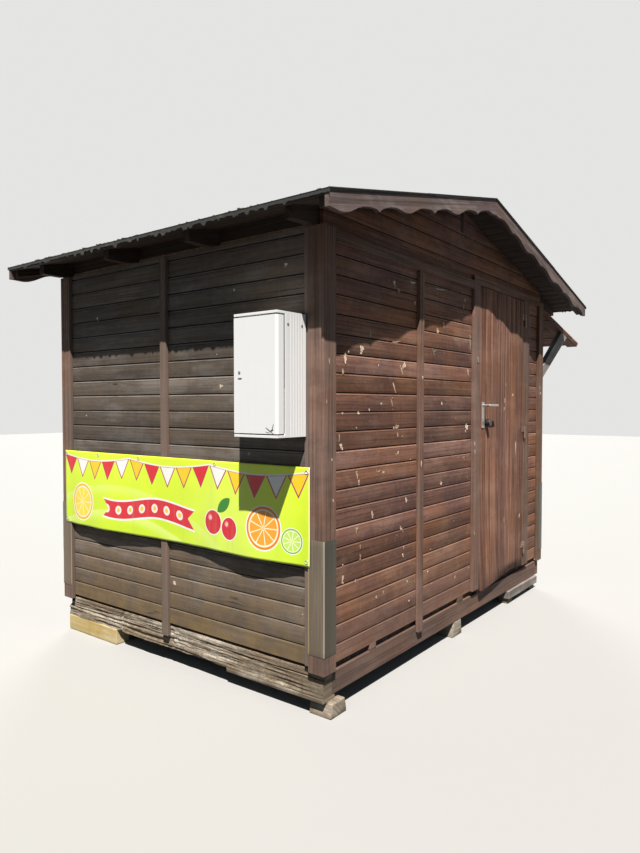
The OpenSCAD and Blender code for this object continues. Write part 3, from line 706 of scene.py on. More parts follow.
def worn_timber(node, name, rows, depth):
    piece = copy_of(node, name)
    low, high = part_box(node)
    slice_up(piece, (low.x, high.x, 190, 0), (low.z, high.z, rows, 2))
    for vert in piece.data.vertices:
        if vert.co.y < clad_y - 0.0005:
            continue
        spot = vert.co
        layers = noise.noise((spot.x * 2.2, 3.1, spot.z * 75))
        fine = noise.noise((spot.x * 16, 8.4, spot.z * 190))
        rot = 0.25 + 0.75 * eased((noise.noise((spot.x * 3.5, 1.7, spot.z * 6)) + 0.35) / 0.5)
        inward = depth * rot * max(0.0, 0.42 + layers + 0.35 * fine)
        rotten = eased(1 - abs(spot.x - rotten_x) / 0.13)
        inward += 0.014 * rotten * max(0.0, 0.3 + noise.noise(spot * 34))
        inward += 0.022 * eased(1 - abs(spot.x - broken_x + 0.2 * (spot.z - 0.17)) / 0.01)
        seam_z = 0.183 + 0.003 * noise.noise((spot.x * 5, 4.4, 0))
        inward += 0.011 * eased(1 - abs(spot.z - seam_z) / 0.0045)
        inward += 0.018 * eased((spot.x - crumbled_x) / 0.012) * eased((spot.z - 0.15) / 0.012)
        vert.co.y -= min(inward, 0.03)
        if spot.z > high.z - 0.001 or spot.z < low.z + 0.001:
            vert.co.z += 0.004 * noise.noise((spot.x * 11, 0.3, 0.9)) - 0.002
    piece.data.update()
    smooth(piece, 24)
    settle(piece, old_sill, "old_timber", [node])


worn_timber("back_sill", "weathered_back_sill", 32, 0.01)
worn_timber("back_skirt", "weathered_strip", 14, 0.006)

# Slivers of bleached wood that stand off the old sill
slivers = []
for x, z, length, tall in (
    (-0.35, 0.172, 0.3, 0.01), (-0.12, 0.183, 0.26, 0.008), (-0.62, 0.16, 0.24, 0.009),
    (0.32, 0.176, 0.22, 0.008), (0.05, 0.164, 0.16, 0.012), (-0.5, 0.196, 0.34, 0.006),
    (0.7, 0.186, 0.3, 0.006), (0.16, 0.196, 0.14, 0.01),
):
    sliver = block("sliver", (x - length / 2, clad_y - 0.012, z), (x + length / 2, clad_y - 0.0006, z + tall))
    slice_up(sliver, (x - length / 2, x + length / 2, 12, 0))
    for vert in sliver.data.vertices:
        share = abs(vert.co.x - x) / (length / 2)
        middle = z + tall / 2 + 0.004 * noise.noise((vert.co.x * 9, z * 40, 0))
        vert.co.z = middle + (vert.co.z - z - tall / 2) * (1 - 0.85 * share ** 2)
        vert.co.y -= 0.004 * share
    slivers.append(sliver)
settle(join("sill_slivers", *slivers), old_sill, "old_timber")

# Packing pieces in the slot between the side sill and the lowest board
packs = []
for y0, y1 in ((-0.048, 0.026), (-0.3, -0.252), (0.99, 1.05)):
    pack = block("pack", (-clad_x + 0.0005, y0, 0.2052), (-clad_x + 0.028, y1, 0.2415))
    soften(pack, 0.003)
    packs.append(pack)
settle(join("slot_packing", *packs), trim_boards, "trim_timber")


# Plain boards for the door, floor, roof and flap
def plain_board(length, width, thick, gap, edge, cuts=1):
    board = block("board", (0, 0, 0), (length, thick, width - gap))
    soften(board, edge)
    slice_up(board, (0, length, cuts, 0))
    return board


def board_run(name, along, out, start, length, width, count, thick, gap=0.002, edge=0.002, cuts=1):
    across = Vector(along).cross(Vector(out))
    places = []
    for k in range(count):
        origin = Vector(start) + across * (k * width + gap / 2) - Vector(out) * dice.uniform(0.0, 0.0008)
        places.append(axes(along, out, origin))
    run = copies(name, plain_board(length, width, thick, gap, edge, cuts), places)
    smooth(run)
    return run


# The door hangs a little twisted: its free lower corner stands off, and its foot is worn to a curve
def hang_door(piece):
    for vert in piece.data.vertices:
        share = (door_high.y - vert.co.y) / (door_high.y - door_low.y)
        foot = eased(1 - (vert.co.z - door_low.z) / 0.02)
        worn = 0.034 * eased(share / 0.75) - 0.012 * eased((share - 0.78) / 0.22)
        vert.co.z += foot * worn
        drop = max(0.0, 1 - (vert.co.z - door_low.z) / 0.9)
        vert.co.x -= 0.015 * drop ** 2 * max(0.0, 1 - share / 0.65)
    piece.data.update()


leaf = board_run("door_leaf_boards", (0, 0, 1), gable_way, (door_high.x, door_high.y, door_low.z),
                 door_high.z - door_low.z, (door_high.y - door_low.y) / 9, 9, door_high.x - door_low.x,
                 0.0025, 0.0035, 20)
hang_door(leaf)
ruffle(leaf, 0.0009, 3.0)
settle(leaf, door_boards, "door_timber", ["door_leaf"], "door")
ledges = copy_of("door_ledges", "door_ledge_frame")
soften(ledges, 0.002)
hang_door(ledges)
settle(ledges, door_boards, "door_timber", ["door_ledges"], "door")

low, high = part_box("floor_boards")
floor_run = board_run("floor_board_run", far_way, (0, 0, 1), (low.x, high.y, low.z), high.x - low.x,
                      (high.y - low.y) / 24, 24, high.z - low.z, 0.003)
settle(floor_run, floor_dirt_and_shade, "frame_timber", ["floor_boards"])

deck_low, deck_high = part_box("roof_deck")
felt_low, felt_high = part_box("roof_felt")
slopes = (("back", 1, deck_high.y, felt_high.y), ("front", -1, -deck_low.y, -felt_low.y))
for name, side, reach, felt_reach in slopes:
    out = Vector((0, side * rise, level))
    along = Vector((side, 0, 0))
    eave = Vector((-side * deck_high.x, side * reach, deck_high.z - reach * math.tan(pitch)))
    eave -= out * deck_depth
    count = round(reach / level / 0.095)
    run = board_run("roof_boards_" + name, along, out, eave, 2 * deck_high.x, (reach / level - 0.004) / count,
                    count, 0.0195, 0.0025)
    settle(run, roof_timber_stain_and_shade, "trim_timber", ["roof_deck"] if side == 1 else ())


# Roofing felt: lapped strips, and a torn edge turned down over the eave
def felt_finish():
    finish, shader, spot = new_finish("roofing felt")
    weathering = placed(weather_group, spot)
    grit = speckle(spot, 420.0, 2.0, 0.7)
    near_eaves = ease(abs(parts_of(spot)[1]), 0.6, 1.7, 0.25, 0.8)
    growth = ease(speckle(spot, 8.0, 8.0, 0.78), 0.53, 0.64) * near_eaves
    tone = tone_mix(ease(grit, 0.35, 0.65), (0.016, 0.017, 0.019), (0.05, 0.05, 0.05))
    tone = coat(tone, weathering["Blotch"], 0.4, (0.032, 0.03, 0.027))
    tone = coat(tone, growth, 0.8, (0.088, 0.084, 0.052))
    tone = coat(tone, weathering["Runs"], 0.4, (0.11, 0.105, 0.095))
    feed_all(shader, Base_Color=tone, Roughness=0.92)
    relieved(shader, product_plus(growth, 1.5, grit), 0.7, 0.0015)
    return finish


felt = felt_finish()


def felt_top(y):
    return felt_high.z - abs(y) * math.tan(pitch)


for name, side, reach, felt_reach in slopes:
    out = Vector((0, side * rise, level))
    along = Vector((side, 0, 0))
    hem_top = felt_top(felt_reach)
    eave = Vector((-side * felt_high.x, side * felt_reach, hem_top)) - out * felt_depth
    up = along.cross(out)
    felt_l = felt_reach / level
    strips = []
    for start, end, lift in ((0.0, 0.93, 0.0), (0.85, felt_l - 0.002, 0.0022)):
        strip = block("strip", (0, 0, 0), (2 * felt_high.x, 0.0021, end - start))
        slice_up(strip, (0, 2 * felt_high.x, 40, 0), (0, end - start, 12, 2))
        tilt = Matrix.Rotation(lift / (end - start), 4, "X")
        strip.data.transform(axes(along, out, eave + up * start + out * lift) @ tilt)
        strips.append(strip)
    edge_y = side * (felt_reach - 0.0036)
    hem = block("hem", (-felt_high.x, edge_y - 0.0014, hem_top - 0.02),
                (felt_high.x, edge_y + 0.0014, hem_top - 0.002))
    slice_up(hem, (-felt_high.x, felt_high.x, 420, 0))
    tatters = []
    for k in range(34):
        tatters.append((dice.uniform(-1.2, 1.2), dice.uniform(0.008, 0.024), dice.uniform(0.003, 0.017)))
    for vert in hem.data.vertices:
        if vert.co.z < hem_top - 0.015:
            torn = noise.noise((vert.co.x * 9, side * 4.0, 0)) + noise.noise((vert.co.x * 41, 2, side))
            drop = max(depth * eased(1.5 * (1 - abs(vert.co.x - at) / half)) for at, half, depth in tatters)
            vert.co.z += 0.004 * max(-1.0, min(1.0, torn)) - drop
            vert.co.y -= side * (0.0006 + 0.1 * drop)
    strips.append(hem)
    for end in (-1, 1):
        x = end * (felt_high.x - 0.0035)
        verge = block("verge", (x - 0.0012, 0, -0.011), (x + 0.0012, felt_l - 0.003, -0.001))
        verge.data.transform(axes(along, (0, side * level, -rise), (0, 0, felt_high.z)))
        strips.append(verge)
    whole = join("roof_felt_" + name, *strips)
    settle(whole, felt, "roof_felt", ["roof_felt"] if side == 1 else (), grain=False)


# Cushions of moss and bits of leaf along the eaves and in the lap
def moss_cushion():
    cushion = fresh("cushion", "ico_sphere", subdivisions=2, radius=0.5)
    for vert in cushion.data.vertices:
        vert.co *= 1 + 0.35 * noise.noise(vert.co * 3.1)
        vert.co.z = max(vert.co.z, -0.25)
    smooth(cushion, 60)
    return cushion


clumps = []
for k in range(230):
    side = 1 if k % 5 else -1
    reach = felt_high.y if side == 1 else -felt_low.y
    inset = 0.012 + 0.05 * dice.random() ** 2
    if k % 7 == 0:
        inset = 0.83 + 0.04 * dice.random()
    y = side * (reach - inset)
    x = dice.uniform(-1, 1) * (felt_high.x - 0.02)
    size = 0.006 + 0.022 * dice.random() ** 3
    height = 0.35 * size
    turn = Matrix.Rotation(dice.uniform(0, 6.28), 4, "Z")
    flat = Matrix.Diagonal((size, size * dice.uniform(0.5, 1.0), height, 1))
    clumps.append(Matrix.Translation((x, y, felt_top(y) + 0.1 * height - 0.0006)) @ turn @ flat)
settle(copies("moss_on_felt", moss_cushion(), clumps), moss, "roof_felt", grain=False)


# Ironwork and cabinet keep the frame's form
for row in (
    ("door_hinge_pins", "hinge_lower_halves", hinge_iron, "hinge_iron", 0.0006),
    ("door_hinge_plates", "hinge_upper_halves", hinge_iron, "hinge_iron", 0.0006, "door"),
    ("door_handle_plate", "handle_plate_sheet", lever_steel, "handle_metal", 0.001, "door"),
    ("door_lever", "lever_bar", lever_steel, "handle_metal", 0.0004, "lever"),
    ("door_lock", "lock_case", lock_black, "black_lock", 0.003, "door"),
    ("cabinet_door", "cabinet_door_pan", white_paint, "white_metal", 0.001, "cabinet_lid"),
    ("cabinet_hinges", "cabinet_pins", hinge_iron, "hinge_iron", 0.0003),
):
    keep_form(*row)

# Corner guards of thin grey metal, knocked about a little
guards = copy_of("corner_guards", "corner_guard_angles")
soften(guards, 0.0006)
low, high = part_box("corner_guards")
slice_up(guards, (low.z, high.z, 18, 2))
for vert in guards.data.vertices:
    dent = noise.noise(vert.co * 6.0) + 0.5 * noise.noise(vert.co * 17.0)
    sideways = Vector((math.copysign(1, vert.co.x), math.copysign(1, vert.co.y), 0))
    vert.co -= sideways * 0.0012 * max(0.0, dent)
guards.data.update()
settle(guards, guard_metal, "grey_metal", ["corner_guards"])

# The cabinet's side has pressed ribs behind its plain front strip
shell = copy_of("cabinet_body", "cabinet_shell")
soften(shell, 0.001)
shell_low, shell_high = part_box("cabinet_body")
rib_lines = [1.48 + 0.0095 * k for k in range(13)]
rib_low, rib_high = shell_low.z + 0.03, shell_high.z - 0.03


def on_rib(vert):
    outside = vert.co.x < shell_low.x + 0.0004 and rib_low - 0.002 < vert.co.z < rib_high + 0.002
    return outside and any(abs(vert.co.y - y) < 0.0004 for y in rib_lines[1::2])


open_mesh(shell)
for y in rib_lines:
    cut((0, y, 0), (0, 1, 0))
for z in (rib_low, rib_high):
    cut((0, 0, z), (0, 0, 1))
pick("VERT", on_rib)
bpy.ops.transform.translate(value=(0.0013, 0, 0))
close_mesh()
smooth(shell, 5)
settle(shell, white_paint, "white_metal", ["cabinet_body"])


def dots(name, size, depth, corners, places, finish, slot, body="hut"):
    spots = []
    for place, normal, wide, tall in places:
        spots.append(facing(place, normal) @ Matrix.Diagonal((wide, tall, 1, 1)))
    piece = copies(name, disc("dot", size / 2, depth, corners), spots)
    smooth(piece, 30)
    settle(piece, finish, slot, body=body, grain=False)


plugs = [((shell_low.x - 0.0002, y, z), gable_way, 1, 1) for y, z in ((1.599, 1.822), (1.5, 1.823))]
dots("cabinet_side_plugs", 0.011, 0.003, 16, plugs, scratched, "white_metal")
lid_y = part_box("cabinet_door")[1].y
barrel = ((-0.733, lid_y + 0.0001, 1.611), back_way, 1, 1)
grip = ((-0.736, lid_y - 0.0004, 1.584), back_way, 2.0, 0.42)
dots("cabinet_lock_barrel", 0.013, 0.004, 20, [barrel, grip], scratched, "white_metal", "cabinet_lid")
scratches = []
for x, z, length, thick, turn in (
    (-0.915, 1.348, 0.06, 0.006, -0.55), (-0.934, 1.362, 0.04, 0.005, 1.25),
    (-0.905, 1.34, 0.03, 0.004, -0.2), (-0.93, 1.35, 0.02, 0.009, 0.4),
):
    scratch = facing((x, lid_y - 0.0002, z), back_way) @ Matrix.Rotation(turn, 4, "Z")
    scratches.append(scratch @ Matrix.Diagonal((length, thick, 1, 1)))
scratch_piece = copies("cabinet_scratches", disc("scratch", 0.5, 0.0008, 7), scratches)
settle(scratch_piece, scratched, "white_metal", body="cabinet_lid", grain=False)

# Raised flap: boards over ledges
flap_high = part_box("hatch_flap")[1]
flap_angle = math.radians(12)
flap_l = 0.98
flap_out = Vector((0, -math.sin(flap_angle), math.cos(flap_angle)))
flap_down = Vector((0, -math.cos(flap_angle), -math.sin(flap_angle)))
flap_hinge = Vector((0, -trim_y - 0.0003, flap_high.z - 0.04 * math.cos(flap_angle)))
start = Vector((flap_high.x, 0, 0)) + flap_hinge + flap_down * flap_l + flap_out * 0.02
flap_run = board_run("flap_boards", gable_way, tuple(flap_out), tuple(start), 2 * flap_high.x, flap_l / 11,
                     11, 0.0195, 0.002, 0.003)
flap_ledges = []
tilt = Matrix.Translation(flap_hinge) @ Matrix.Rotation(flap_angle, 4, "X") @ Matrix.Rotation(math.pi, 4, "Z")
for x in (-1.012, -0.5, 0.0, 0.5, 1.012):
    ledge = block("ledge", (x - 0.045, 0.003, 0.0003), (x + 0.045, flap_l - 0.01, 0.0198))
    soften(ledge, 0.003)
    ledge.data.transform(tilt)
    flap_ledges.append(ledge)
flap_piece = join("flap_boards_and_ledges", flap_run, *flap_ledges)
settle(flap_piece, red_boards, "stained_timber", ["hatch_flap"])


# Nails along the studs, and flaked spots of bare wood that follow the boards' faces
def nail_rows(name, field, out, lines, z_high):
    z_low, aside = 0.25, 0.012
    skin = skin_of(field)
    places = []
    first = math.floor((z_low - first_joint) / cover)
    for k in range(first, math.ceil((z_high - first_joint) / cover)):
        for line in lines:
            z = first_joint + k * cover + 0.04 + dice.uniform(-0.012, 0.012)
            spot = Vector((0, 0, z)) + Vector(out) * 2.0
            spot[0 if out[1] else 1] = line + dice.uniform(-aside, aside)
            if not z_low < z < z_high:
                continue
            hit, normal, index, distance = skin.ray_cast(spot, -Vector(out))
            if hit:
                places.append((hit, normal, 1, 1))
    dots(name, 0.0065, 0.0014, 8, places, nail_iron, "hinge_iron")


nail_rows("back_wall_nails", back_field, back_way, (-0.92, -0.45, 0.27, 0.47, 0.92), 2.2)
nail_rows("door_side_nails", side_fields[0], gable_way, (1.34, 0.96, 0.5, 0.61, 0.1), 2.2)
nail_rows("far_side_nails", far_field, far_way, (-1.34, -0.75, 0.0, 0.75, 1.34), 2.2)
nail_rows("front_wall_nails", front_field, front_way, (-0.9, -0.45, 0.0, 0.45, 0.9), 1.17)


# A mark is its place along the wall, its height, its size across and upward, and its lean
def flaked_spots(name, pieces, out, marks, body="hut", finish=bare_wood):
    skins = [skin_of(piece) for piece in pieces]
    places = []
    for line, z, wide, tall, lean in marks:
        spot = Vector(out) * 3.0
        spot.z = z
        spot[0 if out[1] else 1] = line
        hits = (skin.ray_cast(spot, -Vector(out))[0] for skin in skins)
        hit = next((place for place in hits if place), None)
        if not hit:
            continue
        face = facing(hit, out) @ Matrix.Rotation(lean, 4, "Z")
        places.append(face @ Matrix.Diagonal((wide, tall, 1, 1)))
        if finish == bare_wood and max(wide, tall) > 0.013:
            aside = Matrix.Translation((dice.uniform(-0.4, 0.4) * wide, dice.choice((-0.6, 0.6)) * tall, 0))
            small = Matrix.Diagonal((wide * dice.uniform(0.4, 0.8), tall * dice.uniform(0.2, 0.5), 1, 1))
            places.append(face @ aside @ Matrix.Rotation(dice.uniform(0, 3), 4, "Z") @ small)
    flake = disc("flake", 0.5, 0.0014 if finish == bare_wood else 0.0004, 11)
    for vert in flake.data.vertices:
        angle = math.atan2(vert.co.y, vert.co.x)
        vert.co.xy *= 1 + 0.25 * math.sin(3 * angle + 0.6) + 0.2 * math.sin(5 * angle + 2.0)
    settle(copies(name, flake, places), finish, "stained_timber", body=body)


def chance_marks(line_low, line_high, z_high, count):
    marks = []
    for k in range(count):
        size = 0.005 + 0.018 * dice.random() ** 2
        line, z = dice.uniform(line_low, line_high), dice.uniform(0.3, z_high)
        wide, tall = size * dice.uniform(0.6, 1.7), size * dice.uniform(0.5, 1.1)
        marks.append((line, z, wide, tall, dice.uniform(-0.5, 0.5)))
    return marks


# The larger marks that show in the photo, in millimetres, with their lean in radians
seen_marks = [
    (1030, 900, 14, 26, 0.2), (1170, 850, 18, 18, 0), (1140, 760, 10, 14, 0),
    (1140, 710, 9, 22, 0.1), (1290, 630, 12, 30, -0.2), (710, 680, 10, 14, 0),
    (720, 640, 8, 18, 0.3), (670, 480, 12, 12, 0), (920, 480, 10, 12, 0),
    (990, 470, 12, 14, 0.5), (650, 370, 10, 10, 0), (430, 490, 12, 10, 0),
    (70, 380, 10, 12, 0), (1130, 1740, 26, 30, 0), (1270, 1680, 16, 34, 0.1),
    (1290, 1620, 12, 18, 0), (710, 1680, 22, 30, -0.7), (740, 1650, 6, 40, 0.5),
    (1050, 1820, 10, 30, 0.3), (320, 1900, 22, 22, 0), (800, 1800, 75, 6, 0.15),
    (620, 2140, 50, 12, 0.1), (820, 2110, 18, 24, 0.4), (280, 2150, 120, 7, 0.08),
    (-50, 2130, 24, 12, 0.5), (-30, 2080, 10, 20, 0), (-130, 1860, 6, 70, 0.08),
    (360, 1780, 50, 6, 0.1), (820, 1560, 8, 50, 0.5), (-100, 1680, 10, 30, 0.2),
    (-90, 1320, 28, 26, 0.5), (-70, 1295, 9, 13, 0), (970, 1120, 36, 6, 0.1),
    (1170, 1115, 6, 30, 0.3), (1155, 1085, 13, 18, 0.2), (1307, 1268, 14, 24, 0.4),
    (1320, 1310, 5, 26, 0), (-45, 1131, 34, 7, 0.2), (842, 1474, 6, 30, 0.4),
    (780, 1300, 7, 16, 0),
]
trim_marks = [
    (558, 1135, 10, 32, 0), (-163, 1210, 8, 20, 0.1), (-165, 1160, 8, 24, 0),
    (1451, 1476, 7, 14, 0), (1430, 1660, 6, 20, 0.2), (1410, 1210, 6, 12, 0),
    (-205, 1765, 12, 34, 0.5), (545, 1620, 8, 16, 0), (-170, 620, 7, 18, 0),
    (1400, 1020, 6, 14, 0.3), (-1400, 1600, 8, 26, 0), (-1410, 1560, 7, 18, 0),
]
door_marks = [
    (-690, 1600, 20, 22, 0), (-820, 1540, 24, 14, 0.2), (-670, 1500, 14, 24, 0),
    (-660, 1440, 10, 18, 0), (-970, 630, 16, 22, 0), (-670, 640, 8, 30, 0.1),
    (-886, 1155, 8, 85, 0),
]
seen_marks, trim_marks, door_marks = (
    [(line / 1000, z / 1000, wide / 1000, tall / 1000, lean) for line, z, wide, tall, lean in marks]
    for marks in (seen_marks, trim_marks, door_marks))
seen_marks = [(line, z, 1.25 * wide, 1.12 * tall, lean) for line, z, wide, tall, lean in seen_marks]
# Painted shadow with dirt: a dark rim under each large flaked spot, a little larger and set 3 mm down and
# aside
shadow_rim_marks = [(line - 0.003, z - 0.003, 1.12 * wide, 1.15 * tall, lean) for line, z, wide, tall, lean in
             seen_marks]
# Near-black finish for the painted shadow rims, also used for the split in the casing
shadow_and_dirt_timber = timber(
    "painted shadow and dirt at flaked spots", (0.03, 0.02, 0.016), (0.015, 0.01, 0.008), (0.06, 0.042, 0.032),
    (0.04, 0.024, 0.016), bleach=0.2, grime=0.0)
trims = [bpy.data.objects[name] for name in ("door_casing_boards", "corner_board_angles", "cover_battens")]
flaked_spots("painted_shadow_rims_door_side", side_fields, gable_way, shadow_rim_marks, finish=shadow_and_dirt_timber)
side_marks = seen_marks + chance_marks(-0.15, 1.38, 2.2, 52)
flaked_spots("flaked_spots_door_side", side_fields, gable_way, side_marks)
flaked_spots("flaked_spots_trim", trims, gable_way, trim_marks)
flaked_spots("split_in_casing", trims, gable_way, [(-0.21, 1.738, 0.036, 0.012, 0.2)], finish=shadow_and_dirt_timber)
flaked_spots("flaked_spots_back", [back_field], back_way, chance_marks(-0.95, 0.95, 2.2, 16))
flaked_spots("flaked_spots_far_side", [far_field], far_way, chance_marks(-1.3, 1.3, 2.3, 60))
flaked_spots("flaked_spots_front", [front_field], front_way, chance_marks(-0.9, 0.9, 1.15, 30))
flaked_spots("flaked_spots_door", [leaf], gable_way, door_marks, "door")


# The banner's print: a lime ground with paler sweeps, a line of pennants, cut fruit and a rippling ribbon
banner_low, banner_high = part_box("banner")
wide, tall = banner_high.x - banner_low.x, banner_high.z - banner_low.z


def reach_from(u, v, centre):
    across, upward = u - centre[0], v - centre[1]
    return reckon("SQRT", across * across + upward * upward)


def inside(distance, radius, edge=0.0015):
    return ease(distance, radius + edge, radius - edge)


def cut_fruit(tone, u, v, centre, radius, rind, flesh):
    segments, pith = 9, 0.0026
    distance = reach_from(u, v, centre)
    angle = reckon("ARCTAN2", v - centre[1], u - centre[0])
    wedge = abs(fraction(product_plus(angle, segments / (2 * math.pi), 20.0)) - 0.5)
    segment = ease(wedge + pith / larger(distance, 0.012), 0.5, 0.47)
    tone = tone_mix(inside(distance, radius * 1.06), tone, (0.9, 0.92, 0.8))
    tone = tone_mix(inside(distance, radius), tone, rind)
    tone = tone_mix(inside(distance, radius * 0.88), tone, (0.88, 0.84, 0.6))
    return tone_mix(inside(distance, radius * 0.8) * segment, tone, flesh)


def berry(tone, u, v, centre, radius):
    distance = reach_from(u, v, centre)
    tone = tone_mix(inside(distance, radius * 1.08), tone, (0.9, 0.9, 0.82))
    tone = tone_mix(inside(distance, radius), tone, (0.6, 0.018, 0.03))
    glint = reach_from(u, v, (centre[0] - radius * 0.35, centre[1] + radius * 0.38))
    return tone_mix(inside(glint, radius * 0.2, 0.008), tone, (0.92, 0.55, 0.5))


def pennants(tone, u, v):
    step, drop, bight, sag = 0.134, 0.118, 0.67, 0.03
    line = (tall - 0.022) - abs(reckon("SINE", u * (math.pi / bight))) * sag
    depth = (line - v) / drop
    tip = abs(fraction(u / step) - 0.5) * 2.0 + depth
    colour = fraction(u / (3 * step))
    cloth = tone_mix(ease(colour, 0.332, 0.334), (0.66, 0.02, 0.028), (0.86, 0.85, 0.8))
    cloth = tone_mix(ease(colour, 0.665, 0.667), cloth, (0.85, 0.58, 0.02))
    tone = tone_mix(ease(tip, 1.02, 0.99) * ease(depth, -0.01, 0.01), tone, (0.42, 0.02, 0.12))
    tone = tone_mix(ease(tip, 0.9, 0.87) * ease(depth, 0.04, 0.06), tone, cloth)
    return tone_mix(ease(abs(v - line), 0.0045, 0.003), tone, (0.85, 0.84, 0.78))


def ribbon(tone, u, v, start, end, height):
    flower_step = 0.105
    wave = reckon("SINE", u * 8.5) * 0.02
    aside = abs(v - height - wave)
    notch = 0.05 - aside
    along = ease(u - notch, start - 0.002, start + 0.002) * ease(u + notch, end + 0.002, end - 0.002)
    tone = tone_mix(ease(aside, 0.0615, 0.0585) * along, tone, (0.88, 0.87, 0.82))
    tone = tone_mix(ease(aside, 0.0515, 0.0485) * along, tone, (0.62, 0.02, 0.035))
    cell = (fraction(u / flower_step) - 0.5) * flower_step
    middle = reckon("SQRT", cell * cell + aside * aside)
    tone = tone_mix(inside(middle, 0.026) * along, tone, (0.88, 0.8, 0.72))
    return tone_mix(inside(middle, 0.013) * along, tone, (0.86, 0.55, 0.03))


def banner_print():
    finish, shader, spot = new_finish("printed banner")
    weathering = placed(weather_group, spot)
    u, v, none = parts_of(add(spot.tree, "UVMap", uv_map="print")[0])
    tone = tone_mix(ease(v, 0.0, tall), (0.58, 0.78, 0.02), (0.7, 0.87, 0.034))
    sweep = reach_from(u, v, (0.55, -1.35))
    for radius, strength in ((1.47, 0.55), (1.62, 0.35)):
        ring = ease(sweep, radius - 0.07, radius) * ease(sweep, radius + 0.012, radius)
        tone = coat(tone, ring, strength, (0.8, 0.92, 0.3))
    tone = coat(tone, ease(reach_from(u, v, (1.5, 0.1)), 0.55, 0.0), 0.4, (0.78, 0.92, 0.22))
    tone = pennants(tone, u, v)
    tone = ribbon(tone, u, v, 0.44, 1.22, 0.15)
    tone = cut_fruit(tone, u, v, (0.205, 0.15), 0.112, (0.86, 0.46, 0.015), (0.9, 0.68, 0.05))
    leaf_low, leaf_high = reach_from(u, v, (1.485, 0.205)), reach_from(u, v, (1.425, 0.275))
    tone = tone_mix(inside(leaf_low, 0.075) * inside(leaf_high, 0.075), tone, (0.03, 0.2, 0.02))
    tone = berry(tone, u, v, (1.375, 0.145), 0.062)
    tone = berry(tone, u, v, (1.5, 0.125), 0.056)
    tone = cut_fruit(tone, u, v, (1.735, 0.155), 0.105, (0.8, 0.2, 0.008), (0.88, 0.34, 0.03))
    tone = cut_fruit(tone, u, v, (1.905, 0.11), 0.06, (0.16, 0.42, 0.02), (0.5, 0.74, 0.12))
    tone = coat(tone, weathering["Runs"], 0.12, (0.42, 0.42, 0.3))
    tone = coat(tone, ease(reckon("MINIMUM", u, wide - u), 0.006, 0.003), 0.8, (0.86, 0.88, 0.7))
    feed_all(shader, Base_Color=tone, Roughness=ease(weathering["Scuff"], 0.0, 1.0, 0.36, 0.55))
    weave = add(spot.tree, "TexWave", {"Vector": spot, "Scale": 220.0}, bands_direction="DIAGONAL")["Fac"]
    relieved(shader, weave, 0.12, 0.0004)
    return finish


# Distance of the cloth from the boards at its foot and head, along the wall
held = [(-1.06, 0.0265, 0.0262), (-0.95, 0.0265, 0.0262), (-0.8, 0.04, 0.028), (-0.62, 0.056, 0.031),
        (-0.42, 0.041, 0.028), (-0.22, 0.026, 0.023), (-0.08, 0.024, 0.0245), (0.015, 0.0262, 0.0259),
        (0.1, 0.0262, 0.0259), (0.28, 0.036, 0.028), (0.58, 0.052, 0.031), (0.84, 0.04, 0.028),
        (0.97, 0.0266, 0.026), (1.06, 0.0265, 0.0262)]


def hang(x, share):
    for (x0, foot0, head0), (x1, foot1, head1) in zip(held, held[1:]):
        if x0 <= x <= x1:
            step = eased((x - x0) / (x1 - x0))
            foot = foot0 + (foot1 - foot0) * step
            head = head0 + (head1 - head0) * step
            return foot + (head - foot) * share ** 1.3
    return 0.0255


def hang_banner():
    banner = fresh("printed_banner", "grid", x_subdivisions=200, y_subdivisions=46, size=1)
    paper = banner.data.uv_layers.new(name="print")
    for loop in banner.data.loops:
        point = banner.data.vertices[loop.vertex_index].co
        paper.data[loop.index].uv = ((0.5 + point.x) * wide, (0.5 + point.y) * tall)
    for vert in banner.data.vertices:
        across, share = vert.co.x, vert.co.y + 0.5
        x = banner_high.x - (across + 0.5) * wide
        ripple = 0.0012 * math.sin(x * 23 + share * 4) * (1 - share)
        crease = 0.0008 * noise.noise((x * 6, share * 5, 2))
        vert.co = Vector((x, clad_y + hang(x, share) + ripple + crease, banner_low.z + share * tall))
    banner.data.update()
    modified(banner, "SOLIDIFY", thickness=0.0009, offset=1.0)
    bpy.ops.object.shade_smooth()
    return banner


banner = settle(hang_banner(), banner_print(), "banner_sheet", ["banner"], grain=False)

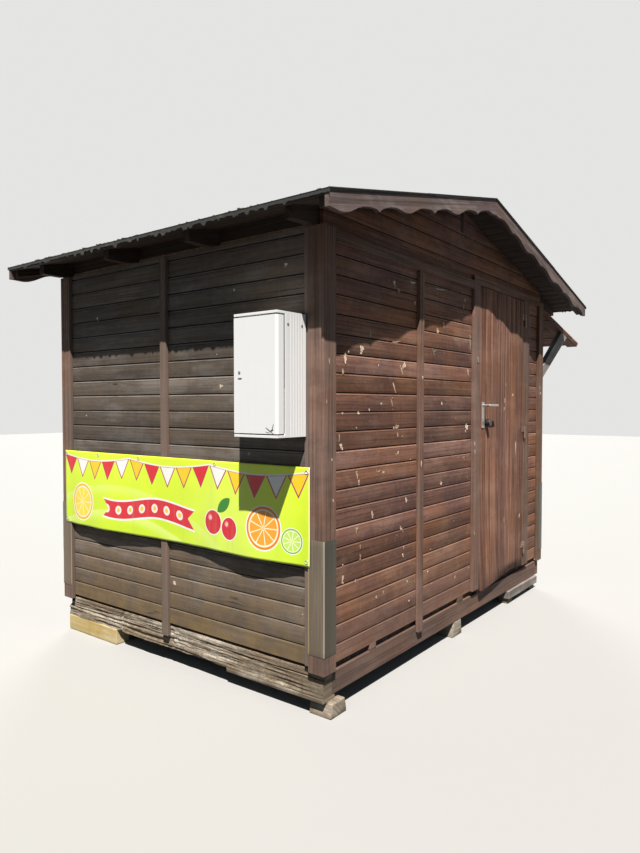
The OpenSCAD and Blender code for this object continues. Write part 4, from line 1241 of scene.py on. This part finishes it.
# Eyelets in the banner's corners and along its head
eyelet = fresh("eyelet", "torus", major_radius=0.008, minor_radius=0.0022, major_segments=20,
               minor_segments=8)
places = []
for x, share in (
    (1.005, 0.95), (1.005, 0.05), (-0.967, 0.95), (-0.967, 0.05), (0.27, 0.96), (0.66, 0.96), (-0.36, 0.96),
):
    spot = Vector((x, clad_y + hang(x, share) + 0.0012, banner_low.z + share * tall))
    places.append(facing(spot, back_way))
eyelets = copies("banner_eyelets", eyelet, places)
smooth(eyelets, 60)
settle(eyelets, lever_steel, "grey_metal", grain=False)


# Floor, light and camera
def straight_view(tree):
    path = add(tree, "LightPath")
    return larger(larger(path["Is Camera Ray"], path["Is Transmission Ray"]), path["Is Glossy Ray"])


ground = fresh("pale_floor", "plane", size=60, location=(0, 0, -0.001))
pale, shader, spot = new_finish("pale floor")
bounced, plain = (0.032, 0.037, 0.044), (0.37, 0.366, 0.355)
feed_all(shader, Base_Color=tone_mix(straight_view(spot.tree), bounced, plain), Roughness=0.9)
ground.data.materials.append(pale)

world = bpy.data.worlds.new("studio")
bpy.context.scene.world = world
world.use_nodes = True
backdrop = world.node_tree.nodes["Background"].inputs
seen = straight_view(world.node_tree)
feed_all(backdrop, Color=tone_mix(seen, (0.52, 0.76, 1.0), (0.78, 0.78, 0.77)),
         Strength=ease(seen, 0.0, 1.0, 0.125, 1.0))


def aimed(name, data, way):
    made = linked(name, data)
    made.rotation_mode = "QUATERNION"
    made.rotation_quaternion = Vector(way).to_track_quat("-Z", "Y")
    return made


def sun_lamp(name, strength, spread, tint, way):
    lamp = bpy.data.lights.new(name, "SUN")
    lamp.energy = strength
    lamp.angle = math.radians(spread)
    lamp.color = tint
    aimed(name, lamp, way)


sun_lamp("key_light", 8.0, 0.55, (1.0, 0.965, 0.92), (0.83, -1.0, -2.12))
sun_lamp("fill_light", 1.8, 25.0, (0.96, 0.98, 1.0), (-0.6, 0.7, -0.35))

photo_h, sensor = 853, 36.0
lens = bpy.data.cameras.new("camera")
lens.sensor_width = sensor
lens.lens = 654.75 / photo_h * sensor
camera = aimed("camera", lens, (0.60622, -0.79467, -0.03147))
camera.location = (-1.8045 - clad_x, clad_y + 2.389, 1.4585)
bpy.context.scene.camera = camera
bpy.context.scene.view_settings.view_transform = "Standard"
